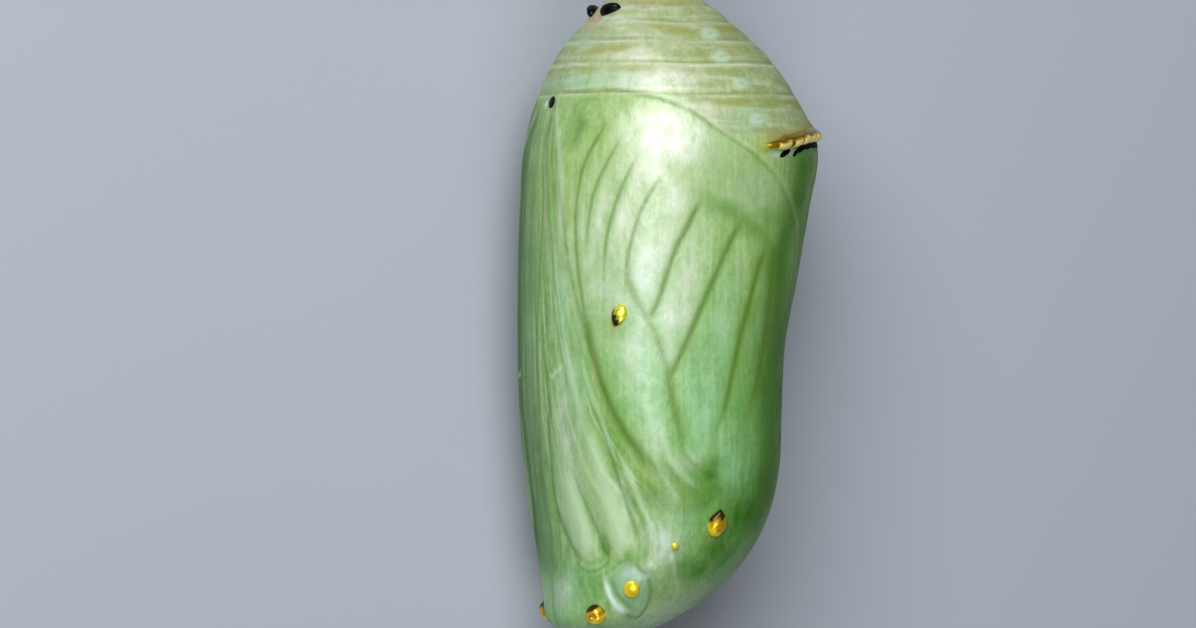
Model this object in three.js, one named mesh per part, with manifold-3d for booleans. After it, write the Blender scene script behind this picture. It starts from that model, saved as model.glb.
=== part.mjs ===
// A butterfly chrysalis of the milkweed butterfly kind: one closed, jade-green pupal skin with
// the wings, legs and antennae showing in relief, a gold-beaded ridge round the back of the
// abdomen, gold studs on the head and shoulders, and the black stalk that it hangs by.
//
// It lies on its left side. Millimetres: +X towards the back, +Y towards the tail, +Z up, which
// is the animal's right. The origin is under the middle of the part, on the surface it lies on.
//
// Places on the skin are given as [along, around]: along is the distance from the tip of the
// head, and around is the angle in degrees from the middle of the belly (0) to the middle of
// the back (180). Both sides are alike, so one entry stands for the left and the right.
import * as THREE from 'three';
import { mergeVertices } from 'three/addons/utils/BufferGeometryUtils.js';
import Module from 'manifold-3d';

// ---- Driving dimensions, millimetres ----
const totalLength = 26;
const stalkFoot = 24.25; // along, where the skin narrows to the plain stalk
const axisHeight = 5.2; // of the body's axis above the surface, which trims the lowest skin flat
const axisOffset = 0.9; // of the body's axis from the middle of the depth, towards the belly
const squareness = 2.15; // exponent of the sections: 2 is an ellipse, more is boxier

// The outline: how far the belly, the back and the flanks stand from the axis, and how many
// rings of the mesh lie between each station and the next.
const stations = [
  { along: 0.0, belly: -1.95, back: -1.95, flank: 0.0, rings: 3 }, // tip of the head
  { along: 0.14, belly: -3.26, back: -0.58, flank: 1.62, rings: 2 },
  { along: 0.6, belly: -3.84, back: 0.5, flank: 2.56, rings: 3 },
  { along: 1.5, belly: -3.94, back: 1.98, flank: 3.4, rings: 4 }, // eyes
  { along: 2.8, belly: -4.04, back: 3.3, flank: 4.28, rings: 4 },
  { along: 4.5, belly: -4.26, back: 4.22, flank: 4.88, rings: 3 }, // shoulders
  { along: 6.3, belly: -4.5, back: 4.62, flank: 5.2, rings: 3 },
  { along: 8.4, belly: -4.7, back: 4.72, flank: 5.26, rings: 3 },
  { along: 10.8, belly: -4.79, back: 4.88, flank: 5.2, rings: 4 }, // waist
  { along: 13.2, belly: -4.8, back: 5.38, flank: 5.22, rings: 4 },
  { along: 15.8, belly: -4.72, back: 5.88, flank: 5.28, rings: 4 },
  { along: 17.7, belly: -4.61, back: 6.25, flank: 5.3, rings: 5 },
  { along: 18.5, belly: -4.46, back: 6.12, flank: 5.2, rings: 6 }, // gold ridge
  { along: 19.9, belly: -4.07, back: 5.42, flank: 4.8, rings: 7 },
  { along: 21.4, belly: -3.42, back: 4.4, flank: 3.95, rings: 5 },
  { along: 22.5, belly: -2.6, back: 3.26, flank: 2.94, rings: 4 },
  { along: 23.6, belly: -1.58, back: 1.92, flank: 1.78, rings: 2 },
  { along: stalkFoot, belly: -0.9, back: 1.0, flank: 0.95, rings: 1 }, // foot of the stalk
  { along: 24.6, belly: -0.48, back: 0.52, flank: 0.5, rings: 1 },
  { along: 25.2, belly: -0.34, back: 0.4, flank: 0.37, rings: 1 },
  { along: 25.7, belly: -0.44, back: 0.52, flank: 0.48, rings: 1 },
  { along: 25.92, belly: -0.46, back: 0.54, flank: 0.5, rings: 1 },
  { along: totalLength, belly: 0.04, back: 0.04, flank: 0.0, rings: 0 }, // hooked end of the stalk
];

const columns = 50; // faces round the body
const ventralCrowding = 20; // degrees by which the columns close up towards the belly
const studFaces = 8; // faces round a stud
const beadFaces = 6; // faces round a bead
const studRows = 0.6; // rows of faces on a stud, as a share of those round it

// The joints between the abdomen's rings, as distances from the head. Past lastWholeRing they
// run all the way round, and before it the wings cover them, so they show on the back alone.
const abdomenJoints = { places: [14.6, 16.4, 20.0, 21.15, 22.0, 22.7, 23.35], depth: 0.1, width: 0.16 };
const lastWholeRing = 19;
const dorsalStart = 135; // degrees: the hidden rings' joints fade out below this
const dorsalFade = 15; // degrees over which they fade out

const goldRidge = {
  path: [[18.0, 104], [18.15, 120], [18.3, 135], [18.4, 157], [18.42, 180]],
  height: 0.26,
  width: 0.2,
  fade: 8, // degrees over which its end runs out
  firstBead: 4, // degrees from its end
  beads: 10, // on each side, the last on the middle of the back
  beadSize: [0.2, 0.26, 0.2], // along, around and out
  beadShift: -0.16, // of the beads towards the head
};

// The forewing's two edges: the belly edge and the back edge meet at its base and at its tip.
const wing = {
  bellyEdge: [[5.2, 84], [6.1, 66], [8.2, 51], [11.0, 39], [14.0, 28], [17.1, 19], [20.0, 8]],
  backEdge: [[5.2, 98], [7.6, 123], [10.2, 136], [14.2, 137], [17.1, 108], [18.8, 86], [20.0, 40]],
  height: 0.06,
  edge: 5, // degrees over which it rises
};

// Grooves between the antennae, legs and tongue on the belly, and round the eye and the wing.
const grooves = {
  paths: [
    [[3.0, 0], [8.0, 0], [14.0, 3], [19.5, 3]], // tongue
    [[2.9, 26], [4.6, 14], [7.2, 11], [9.7, 14]], // foreleg, inner side
    [[2.9, 26], [2.5, 38], [2.9, 45]], // foreleg, rounded shoulder
    [[2.9, 45], [4.3, 37], [5.9, 27], [8.5, 20], [9.7, 14]], // foreleg, outer side
    [[2.8, 62], [5.0, 52], [7.2, 42], [10.0, 30], [13.0, 22], [16.0, 14]], // middle leg
    [[2.6, 49], [1.9, 50], [1.1, 66], [0.7, 88]], // front of the eye
    [[0.7, 88], [1.9, 80], [2.6, 66], [2.6, 49]], // back of the eye
    wing.bellyEdge,
    wing.backEdge,
    [[20.0, 8], [20.05, 25], [20.0, 40]], // the wing's tip
  ],
  depth: 0.12,
  width: 0.26,
};

// Studs that stand out of the skin: [along, around] and their sizes along, around and out.
const studs = [
  { name: 'head horn', place: [0.82, 50], size: [0.38, 0.38, 0.4] },
  { name: 'shoulder stud', place: [4.2, 99], size: [0.56, 0.36, 0.3] },
  { name: 'small stud', place: [3.35, 81], size: [0.16, 0.16, 0.14] },
  { name: 'eye stud', place: [1.8, 66.5], size: [0.35, 0.32, 0.14] },
  { name: 'wing stud', place: [11.9, 53], size: [0.46, 0.28, 0.2] },
  { name: 'black knob', place: [23.2, 19], size: [0.24, 0.36, 0.3] },
];

// ---- The outline ----

// A smooth curve through rows of numbers, as a centripetal Catmull-Rom spline. t counts rows.
function splineThrough(rows, t) {
  const index = Math.min(Math.floor(t), rows.length - 2);
  const fraction = t - index;
  const from = rows[index];
  const to = rows[index + 1];
  // The curve leaves the head's tip square to the axis, so that the head is round there.
  const before = rows[index - 1] ?? to.map((value, k) => (k === 0 ? value : 2 * from[k] - value));
  const after = rows[index + 2] ?? to.map((value, k) => 2 * value - from[k]);
  const knot = (a, b) => Math.sqrt(Math.hypot(...a.map((value, k) => b[k] - value)));
  const knots = [knot(before, from), knot(from, to), knot(to, after)];
  const slope = (a, b, c, near, far) => (b - a) / near - (c - a) / (near + far) + (c - b) / far;
  const squared = fraction * fraction;
  const cubed = squared * fraction;
  return from.map((start, k) => {
    const slopeIn = knots[1] * slope(before[k], start, to[k], knots[0], knots[1]);
    const slopeOut = knots[1] * slope(start, to[k], after[k], knots[1], knots[2]);
    return (
      (2 * cubed - 3 * squared + 1) * start +
      (cubed - 2 * squared + fraction) * slopeIn +
      (3 * squared - 2 * cubed) * to[k] +
      (cubed - squared) * slopeOut
    );
  });
}

const stationRows = stations.map(({ along, belly, back, flank }) => [along, belly, back, flank]);

function sectionAtStep(step) {
  const [along, belly, back, flank] = splineThrough(stationRows, step);
  return { along, centre: (belly + back) / 2, depth: (back - belly) / 2, flank };
}

// The section at a distance from the head, found by halving the stretch that it lies in.
function sectionAtPlace(along) {
  const halvings = 40;
  let low = 0;
  let high = stations.length - 1;
  for (let halving = 0; halving < halvings; halving += 1) {
    const middle = (low + high) / 2;
    if (sectionAtStep(middle).along < along) low = middle;
    else high = middle;
  }
  return sectionAtStep(low);
}

// A point of the skin, with the body's axis along Y through the origin.
function skinPoint(section, around, lift = 0) {
  const angle = THREE.MathUtils.degToRad(around);
  const round = (value) => Math.sign(value) * Math.abs(value) ** (2 / squareness);
  return new THREE.Vector3(
    section.centre - (section.depth + lift) * round(Math.cos(angle)),
    section.along,
    (section.flank + lift) * round(Math.sin(angle)),
  );
}

// ---- The relief ----

const bump = (distance, width) => Math.exp(-((distance / width) ** 2));
const ramp = (value, low, high) => THREE.MathUtils.smoothstep(value, low, high);

// The angle of an [along, around] path at a distance from the head, or nothing past its ends.
function angleOnPath(path, along) {
  for (let k = 1; k < path.length; k += 1) {
    const [start, angle] = path[k - 1];
    const [end, nextAngle] = path[k];
    if (along >= start && along <= end) {
      return angle + ((nextAngle - angle) * (along - start)) / (end - start);
    }
  }
  return undefined;
}

// The distance over the skin from a place to an [along, around] path.
function distanceToPath(path, along, around, section) {
  const perDegree = ((section.depth + section.flank) / 2) * THREE.MathUtils.degToRad(1);
  const place = new THREE.Vector3(along, around * perDegree, 0);
  const nearest = new THREE.Vector3();
  let distance = Infinity;
  for (let k = 1; k < path.length; k += 1) {
    const ends = [path[k - 1], path[k]].map(([y, angle]) => new THREE.Vector3(y, angle * perDegree, 0));
    new THREE.Line3(...ends).closestPointToPoint(place, true, nearest);
    distance = Math.min(distance, nearest.distanceTo(place));
  }
  return distance;
}

function wingLift(along, around) {
  const low = angleOnPath(wing.bellyEdge, along);
  const high = angleOnPath(wing.backEdge, along);
  if (low === undefined || high === undefined) return 0;
  const rise = ramp(around, low - wing.edge / 2, low + wing.edge / 2);
  return wing.height * rise * ramp(high, around - wing.edge / 2, around + wing.edge / 2);
}

function jointLift(along, around) {
  const showing = along > lastWholeRing ? 1 : ramp(around, dorsalStart, dorsalStart + dorsalFade);
  const depth = abdomenJoints.places.map((place) => bump(along - place, abdomenJoints.width));
  return -abdomenJoints.depth * showing * Math.max(...depth);
}

function ridgeLift(along, around, section) {
  const start = goldRidge.path[0][1];
  const strength = ramp(around, start - goldRidge.fade / 2, start + goldRidge.fade / 2);
  const distance = distanceToPath(goldRidge.path, along, around, section);
  return goldRidge.height * strength * bump(distance, goldRidge.width);
}

function grooveLift(along, around, section) {
  const distances = grooves.paths.map((path) => distanceToPath(path, along, around, section));
  return -grooves.depth * bump(Math.min(...distances), grooves.width);
}

function relief(section, around) {
  const { along } = section;
  return (
    wingLift(along, around) +
    jointLift(along, around) +
    ridgeLift(along, around, section) +
    grooveLift(along, around, section)
  );
}

// ---- Solids ----

const wasm = await Module();
wasm.setup();

function solidFrom(geometry) {
  const mergeDistance = 1e-5;
  const bare = geometry.clone();
  bare.deleteAttribute('normal');
  bare.deleteAttribute('uv');
  const merged = mergeVertices(bare, mergeDistance);
  const mesh = new wasm.Mesh({
    numProp: 3,
    vertProperties: new Float32Array(merged.attributes.position.array),
    triVerts: new Uint32Array(merged.index.array),
  });
  return new wasm.Manifold(mesh);
}

function geometryFrom(solid) {
  const { vertProperties, triVerts } = solid.getMesh();
  const geometry = new THREE.BufferGeometry();
  geometry.setAttribute('position', new THREE.BufferAttribute(vertProperties, 3));
  geometry.setIndex(new THREE.BufferAttribute(triVerts, 1));
  geometry.computeVertexNormals();
  return geometry;
}

// The skin as rings of points from the head's tip to the end of the stalk.
function skinGeometry() {
  const steps = [];
  stations.forEach(({ rings }, k) => {
    for (let ring = 0; ring < rings; ring += 1) steps.push(k + ring / rings);
  });
  steps.shift(); // the tip of the head is a single point
  const tip = skinPoint(sectionAtStep(0), 0);
  const end = skinPoint(sectionAtStep(stations.length - 1), 0);
  const points = [tip, end];
  for (const step of steps) {
    const section = sectionAtStep(step);
    for (let column = 0; column < columns; column += 1) {
      const turn = (360 * column) / columns;
      const around = turn - ventralCrowding * Math.sin(THREE.MathUtils.degToRad(turn));
      const folded = Math.min(around, 360 - around); // both sides are alike
      const onStalk = section.along > stalkFoot;
      points.push(skinPoint(section, around, onStalk ? 0 : relief(section, folded)));
    }
  }
  const at = (ring, column) => 2 + ring * columns + (column % columns);
  const faces = [];
  for (let column = 0; column < columns; column += 1) {
    faces.push(0, at(0, column + 1), at(0, column));
    for (let ring = 0; ring < steps.length - 1; ring += 1) {
      const [a, b] = [at(ring, column), at(ring, column + 1)];
      const [c, d] = [at(ring + 1, column), at(ring + 1, column + 1)];
      faces.push(a, b, c, b, d, c);
    }
    faces.push(1, at(steps.length - 1, column), at(steps.length - 1, column + 1));
  }
  const geometry = new THREE.BufferGeometry().setFromPoints(points);
  geometry.setIndex(faces);
  return geometry;
}

// An egg-shaped stud set half into the skin, its axes along, around and out of it.
function studGeometry([along, around], [long, wide, high], side, segments) {
  const section = sectionAtPlace(along);
  const angle = side * around;
  const point = skinPoint(section, angle, relief(section, around));
  const [step, turn] = [0.05, 1]; // mm and degrees to the places that give the skin's slope
  const onwards = skinPoint(sectionAtPlace(along + step), angle).sub(skinPoint(section, angle));
  const sideways = skinPoint(section, angle + turn).sub(skinPoint(section, angle - turn));
  const out = new THREE.Vector3().crossVectors(sideways, onwards).normalize();
  const lengthwise = onwards.normalize();
  const across = new THREE.Vector3().crossVectors(out, lengthwise);
  const basis = new THREE.Matrix4().makeBasis(lengthwise, across, out);
  const geometry = new THREE.SphereGeometry(1, segments, Math.ceil(segments * studRows));
  geometry.scale(long, wide, high);
  return geometry.applyMatrix4(basis).translate(point.x, point.y, point.z);
}

function beadPlaces() {
  const places = [];
  const [first, last] = [goldRidge.path[0][1] + goldRidge.firstBead, 180];
  const swapped = goldRidge.path.map(([along, angle]) => [angle, along]);
  for (let k = 0; k < goldRidge.beads; k += 1) {
    const around = first + ((last - first) * k) / (goldRidge.beads - 1);
    places.push([angleOnPath(swapped, around) + goldRidge.beadShift, around]);
  }
  return places;
}

// Everything below the surface that it lies on, which is cut away.
function belowFloor() {
  const size = 2 * totalLength;
  const block = new THREE.BoxGeometry(size, size, size);
  return block.translate(0, totalLength / 2, -axisHeight - size / 2);
}

function chrysalisGeometry() {
  let solid = solidFrom(skinGeometry());
  for (const side of [-1, 1]) {
    for (const { place, size } of studs) {
      solid = solid.add(solidFrom(studGeometry(place, size, side, studFaces)));
    }
    for (const place of beadPlaces()) {
      if (side === 1 && place[1] === 180) continue; // one bead stands on the middle of the back
      solid = solid.add(solidFrom(studGeometry(place, goldRidge.beadSize, side, beadFaces)));
    }
  }
  return geometryFrom(solid.subtract(solidFrom(belowFloor())));
}

const chrysalis = new THREE.Mesh(
  chrysalisGeometry(),
  new THREE.MeshStandardMaterial({ color: 0x9dc08b, roughness: 0.35, metalness: 0 }),
);
chrysalis.name = 'chrysalis';
chrysalis.position.set(-axisOffset, -totalLength / 2, axisHeight);

const part = new THREE.Group();
part.add(chrysalis);

export default part;
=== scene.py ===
import math
import random

import bpy
import numpy as np
from mathutils import Matrix, Vector


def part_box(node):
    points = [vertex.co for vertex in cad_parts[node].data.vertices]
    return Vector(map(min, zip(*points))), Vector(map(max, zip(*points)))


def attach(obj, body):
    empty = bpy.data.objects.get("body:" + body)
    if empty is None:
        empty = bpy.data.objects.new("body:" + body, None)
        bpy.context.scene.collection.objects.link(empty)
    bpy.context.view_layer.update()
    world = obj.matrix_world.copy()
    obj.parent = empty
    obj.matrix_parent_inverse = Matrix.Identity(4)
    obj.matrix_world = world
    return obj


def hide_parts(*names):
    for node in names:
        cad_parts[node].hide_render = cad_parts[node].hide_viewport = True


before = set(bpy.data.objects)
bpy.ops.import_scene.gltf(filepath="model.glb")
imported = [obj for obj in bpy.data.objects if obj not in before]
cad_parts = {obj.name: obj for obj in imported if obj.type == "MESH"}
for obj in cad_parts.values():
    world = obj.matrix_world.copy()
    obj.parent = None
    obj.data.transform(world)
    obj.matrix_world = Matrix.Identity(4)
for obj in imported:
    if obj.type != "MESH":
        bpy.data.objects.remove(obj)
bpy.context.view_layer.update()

mm = 0.001
degreeLength = 0.09  # mm, of a degree round the middle of the body

# A chrysalis lying on its left side: +X back, +Y tail, +Z the animal's right.
# Places on the skin are (along, around): mm from the tip of the head, and degrees from the
# middle of the belly. Both sides are alike, so each place is used left and right.
# Heights, depths and widths are in mm.
body = dict(
    axisHeight=5.2,  # of the body's axis above the floor
    axisOffset=-0.9,  # of the axis from the middle of the depth
    squareness=2.15,  # 2 would be an ellipse
    # along, belly, back, flank
    stations=[
        (0.00, -1.95, -1.95, 0.00),
        (0.14, -3.26, -0.58, 1.62),
        (0.60, -3.84, 0.50, 2.56),
        (1.50, -3.94, 1.98, 3.40),
        (2.80, -4.04, 3.30, 4.28),
        (4.50, -4.26, 4.22, 4.88),
        (6.30, -4.50, 4.62, 5.20),
        (8.40, -4.70, 4.72, 5.26),
        (10.80, -4.79, 4.88, 5.20),
        (13.20, -4.80, 5.38, 5.22),
        (15.80, -4.72, 5.88, 5.28),
        (17.70, -4.61, 6.25, 5.30),
        (18.50, -4.46, 6.12, 5.20),
        (19.90, -4.07, 5.42, 4.80),
        (21.40, -3.42, 4.40, 3.95),
        (22.50, -2.60, 3.26, 2.94),
        (23.60, -1.58, 1.92, 1.78),
        (24.25, -0.90, 1.00, 0.95),
        (24.60, -0.48, 0.52, 0.50),
        (24.90, -0.20, 0.24, 0.22),  # the skin closes inside the stalk
        (25.00, 0.02, 0.02, 0.00),
    ],
    perSpan=160,  # steps of the outline from one station to the next
)

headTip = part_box("chrysalis")[0].y / mm  # where the head starts, in mm along Y


def clearSelection():
    bpy.ops.object.select_all(action="DESELECT")


def hexColour(text):
    # an sRGB hex value as the linear colour that a shader wants
    parts = [int(text[k:k + 2], 16) / 255 for k in (0, 2, 4)]
    linear = [c / 12.92 if c <= 0.04045 else ((c + 0.055) / 1.055) ** 2.4 for c in parts]
    return (*linear, 1.0)


def splineRows(rows, perSpan):
    # centripetal Catmull-Rom through rows of numbers, square to the axis at the head's tip
    rows = np.asarray(rows, float)
    first = rows[1].copy()
    first[1:] = 2 * rows[0][1:] - rows[1][1:]
    padded = np.vstack([first, rows, 2 * rows[-1] - rows[-2]])
    t = np.linspace(0, 1, perSpan, endpoint=False)[:, None]
    out = []
    for k in range(1, len(padded) - 2):
        before, start, end, after = padded[k - 1:k + 3]
        entering, passing, leaving = start - before, end - start, after - end
        a, b, c = [math.sqrt(np.linalg.norm(step)) for step in (entering, passing, leaving)]
        slopeIn = entering / a - (end - before) / (a + b) + passing / b
        slopeOut = passing / b - (after - start) / (b + c) + leaving / c
        out.append((2 * t**3 - 3 * t**2 + 1) * start + (t**3 - 2 * t**2 + t) * slopeIn * b
                   + (3 * t**2 - 2 * t**3) * end + (t**3 - t**2) * slopeOut * b)
    out.append(rows[-1:])
    return np.vstack(out)


outline = splineRows(body["stations"], body["perSpan"])
outlineRadius = (outline[:, 2] - outline[:, 1] + 2 * outline[:, 3]) / 4
outlineStep = np.hypot(np.diff(outline[:, 0]), np.diff(outlineRadius))
outlineArc = np.concatenate([[0], np.cumsum(outlineStep)])


def arcAt(along):
    return np.interp(along, outline[:, 0], outlineArc)


def skinPoints(arc, around):
    # places on the bare outline, in mm, with the body's axis along Y
    along, belly, back, flank = [np.interp(arc, outlineArc, outline[:, k]) for k in range(4)]
    angle = np.radians(around)
    power = 2 / body["squareness"]
    forward = np.sign(np.cos(angle)) * np.abs(np.cos(angle)) ** power
    sideways = np.sign(np.sin(angle)) * np.abs(np.sin(angle)) ** power
    x = (belly + back) / 2 - (back - belly) / 2 * forward
    return np.stack([x, along, flank * sideways], axis=-1)


def stepAround(arc, around):
    # from half a degree before to half a degree after
    return skinPoints(arc, around + 0.5) - skinPoints(arc, around - 0.5)


def skinNormals(arc, around, step=0.02):
    tailward = skinPoints(np.minimum(arc + step, outlineArc[-1]), around)
    headward = skinPoints(np.maximum(arc - step, 0), around)
    normal = np.cross(stepAround(arc, around), tailward - headward)
    size = np.linalg.norm(normal, axis=-1, keepdims=True)
    ends = np.stack([0 * arc, np.where(arc < outlineArc[-1] / 2, -1.0, 1.0), 0 * arc], axis=-1)
    return np.where(size > 1e-9, normal / np.maximum(size, 1e-9), ends)


def toRow(points):
    # from mm round the body's axis to metres in the shared frame
    moved = (points + np.array([body["axisOffset"], headTip, body["axisHeight"]])) * mm
    moved[..., 2] = np.maximum(moved[..., 2], 0)  # the flank lies flat on the floor
    return moved


def onSkin(arc, around, lift):
    return toRow(skinPoints(arc, around) + skinNormals(arc, around) * lift[:, None])


class Skin:
    # where each vertex is, how many mm one degree is there, and how far inside the wing it is
    def __init__(self, along, around):
        self.along = along
        self.around = around
        self.folded = np.abs(around)
        self.perDegree = np.linalg.norm(stepAround(arcAt(along), around), axis=-1)
        self.inWing = inside(self, wing["edge"])
        self.lines = {}


def smoothStep(value, low, high):
    t = np.clip((value - low) / (high - low), 0, 1)
    return t * t * (3 - 2 * t)


def falloff(distance, width):
    # 1 at a distance of 0, and soft over a width
    return np.exp(-(distance / width) ** 2)


def strongest(layers):
    # the highest of several at each vertex
    return np.maximum.reduce(list(layers))


def smoothPath(points, perSpan=6):
    # Catmull-Rom through places on the skin
    points = np.asarray(points, float)
    padded = np.vstack([2 * points[0] - points[1], points, 2 * points[-1] - points[-2]])
    t = np.linspace(0, 1, perSpan, endpoint=False)[:, None]
    out = []
    for k in range(1, len(padded) - 2):
        a, b, c, d = padded[k - 1:k + 3]
        out.append(0.5 * (2 * b + (c - a) * t + (2 * a - 5 * b + 4 * c - d) * t**2
                          + (3 * b - a - 3 * c + d) * t**3))
    out.append(points[-1:])
    return np.vstack(out)


def alongLine(line, folded):
    # how far along a line across the body is, at each place around
    return np.interp(folded, line[:, 1], line[:, 0])


def distanceTo(skin, line, reach=1.0):
    # mm over the skin to a line, up to the reach, and how far down the line the nearest place is
    steps = np.diff(line, axis=0)
    lengths = np.concatenate([[0], np.cumsum(np.hypot(steps[:, 0], steps[:, 1] * degreeLength))])
    best = np.full(skin.along.shape, float(reach))
    share = np.zeros_like(best)
    wide = reach / np.maximum(skin.perDegree, 1e-4)
    for k, ((a0, f0), (a1, f1)) in enumerate(zip(line[:-1], line[1:])):
        near = np.nonzero((skin.along > min(a0, a1) - reach) & (skin.along < max(a0, a1) + reach)
                          & (skin.folded > min(f0, f1) - wide) & (skin.folded < max(f0, f1) + wide))[0]
        per = skin.perDegree[near]
        da, df = a1 - a0, (f1 - f0) * per
        pa, pf = skin.along[near] - a0, (skin.folded[near] - f0) * per
        t = np.clip((pa * da + pf * df) / np.maximum(da * da + df * df, 1e-9), 0, 1)
        d = np.hypot(pa - t * da, pf - t * df)
        closer = d < best[near]
        spots = near[closer]
        best[spots] = d[closer]
        share[spots] = (lengths[k] + t[closer] * (lengths[k + 1] - lengths[k])) / lengths[-1]
    return best, share


def stroke(skin, path, width, fadeStart=0, fadeEnd=0):
    # a soft line, 1 on the path and falling over its half-width; shares of its ends can fade
    distance, share = distanceTo(skin, smoothPath(path))
    line = falloff(distance, width)
    if fadeStart:
        line = line * smoothStep(share, 0, fadeStart)
    if fadeEnd:
        line = line * smoothStep(1 - share, 0, fadeEnd)
    return line


def strokes(skin, rows, widen=1, extra=0):
    # the strongest of many soft lines, which can all be wider than their rows say
    return strongest(level * stroke(skin, path, width * widen + extra, fadeStart, fadeEnd)
                     for width, level, fadeStart, fadeEnd, path in rows)


def ovalRadius(skin, along, around, alongSize, aroundSize, slant=0):
    # 0 in the middle of an oval and 1 at its sizes in mm; slant turns it, in degrees
    a = skin.along - along
    f = (skin.folded - around) * skin.perDegree
    c, s = math.cos(math.radians(slant)), math.sin(math.radians(slant))
    return np.hypot((a * c + f * s) / alongSize, (f * c - a * s) / aroundSize)


def blob(skin, *oval):
    # a soft oval, 1 in its middle
    return falloff(ovalRadius(skin, *oval), 1)


def inside(skin, edge):
    # signed mm from an outline on the skin, above 0 inside it
    loop = smoothPath(list(edge) + [edge[0]])
    distance, _ = distanceTo(skin, loop)
    crossings = np.zeros(skin.along.shape, int)
    for (a0, f0), (a1, f1) in zip(loop[:-1], loop[1:]):
        spans = (a0 > skin.along) != (a1 > skin.along)
        at = f0 + (skin.along - a0) * (f1 - f0) / (a1 - a0 if a1 != a0 else 1e-9)
        crossings += spans & (skin.folded < at)
    return np.where(crossings % 2 == 1, distance, -distance)


wing = dict(
    edge=[
        (5.3, 80), (6.1, 67), (8.2, 51), (11.0, 38), (13.6, 28), (16.2, 21), (18.4, 14.5), (19.9, 8),
        (20.05, 20), (20.1, 43), (19.95, 55), (19.7, 68), (19.2, 80), (18.5, 89), (17.66, 102), (16.5, 118),
        (15.6, 128), (14.6, 136), (12.4, 140), (10.2, 137), (8.7, 129), (7.2, 118), (5.9, 104), (5.3, 92),
    ],
    rise=0.024,
    riseWidth=0.14,
    rimStarts=((5.8, 8.0), (9.5, 12.5)),  # along, where the rim comes in on the belly and the back
    rimTurn=(60, 110),  # around, from the belly's share of the rim to the back's
    rimDepth=0.013,
    # mm outside the edge, and half-width
    rimGroove=(0.08, 0.12),
    rimDark=(0.02, 0.075),
    # a pale line painted beside the rim's groove as its highlight
    rimHighlight=(0.16, 0.09),
    paleStart=(13.5, 15.5),
    bellyEnd=(12, 25),  # around, up to which the rim has no colour
    # dark veins: half-width, strength, shares that fade at the start and the end, path
    veins=[
        (0.07, 0.85, 0.15, 0, [(19.2, 42), (18.6, 39.5), (17.7, 34), (16.8, 31), (15.5, 30), (14.0, 31.5),
            (12.5, 35), (11.8, 36.5)]),
        (0.19, 1.0, 0.2, 0.15, [(12.6, 34.8), (11.15, 38.5), (9.9, 42.5), (9.0, 46), (8.2, 50), (7.5, 55),
            (7.0, 59.5), (6.4, 64), (5.9, 69)]),
        (0.065, 0.75, 0.2, 0.35, [(18.7, 50), (18.0, 46.5), (17.0, 41), (16.0, 37.5), (14.6, 36.3),
            (13.4, 37)]),
        (0.065, 0.8, 0.2, 0.3, [(17.9, 57), (17.1, 53), (16.1, 49), (15.0, 46), (13.9, 45), (12.9, 45.5)]),
        (0.075, 0.85, 0.2, 0, [(17.1, 67), (16.2, 62), (15.4, 58.3), (14.3, 55.7), (13.6, 55)]),
        (0.13, 0.65, 0, 0, [(13.6, 55), (13.1, 55.8), (12.5, 59.5), (11.9, 64), (11.2, 69), (10.3, 73),
            (9.7, 75.5)]),
        (0.115, 1.0, 0.15, 0, [(16.3, 83.5), (15.2, 79), (14.3, 75), (13.3, 72), (12.4, 69.5), (11.9, 67)]),
        (0.135, 1.0, 0.12, 0, [(15.5, 99.5), (14.5, 95), (13.5, 91.5), (12.4, 88), (11.3, 84), (10.3, 79.5),
            (9.7, 76)]),
        (0.16, 0.9, 0, 0.5, [(9.8, 75), (9.2, 75.5), (8.6, 77), (8.0, 78.5), (7.0, 80.5), (6.2, 84)]),
        (0.14, 1.0, 0.1, 0.35, [(14.6, 113), (13.4, 110), (12.3, 108), (11.0, 105.5), (9.6, 102),
            (8.5, 98.5), (7.4, 93), (6.5, 90)]),
        (0.17, 0.9, 0.1, 0.35, [(14.7, 118), (13.2, 119.5), (11.7, 121), (10.2, 120.5), (8.7, 114),
            (7.4, 106)]),
    ],
    veinDepth=0.01,
    haloDepth=0.012,
    haloWidths=(2, 0.1),  # times a vein's, and mm more
    # before this line the wing is shaded dark, beyond it it is smooth and pale
    marginLine=[(17.0, 72), (16.4, 83), (15.9, 91), (15.35, 101), (14.7, 113), (13.5, 119)],
    marginWidths=(0.5, 0.18),
    marginEnds=((76, 92), (124, 116)),  # around
    marginRise=0.03,
    marginRamp=(-0.1, 0.25),
    # painted shade: the skin is darkened round this line, where the wing meets the back, along the
    # outline's edge
    flankShade=[
        (17.3, 131), (15.6, 128), (14.2, 124), (12.3, 127.5), (9.8, 131), (7.8, 130), (6.0, 129),
        (4.8, 126),
    ],
    flankWidth=0.8,
)


def besideWing(skin, outside, width):
    # a soft line that runs outside the wing's edge
    return falloff(skin.inWing + outside, width)


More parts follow.
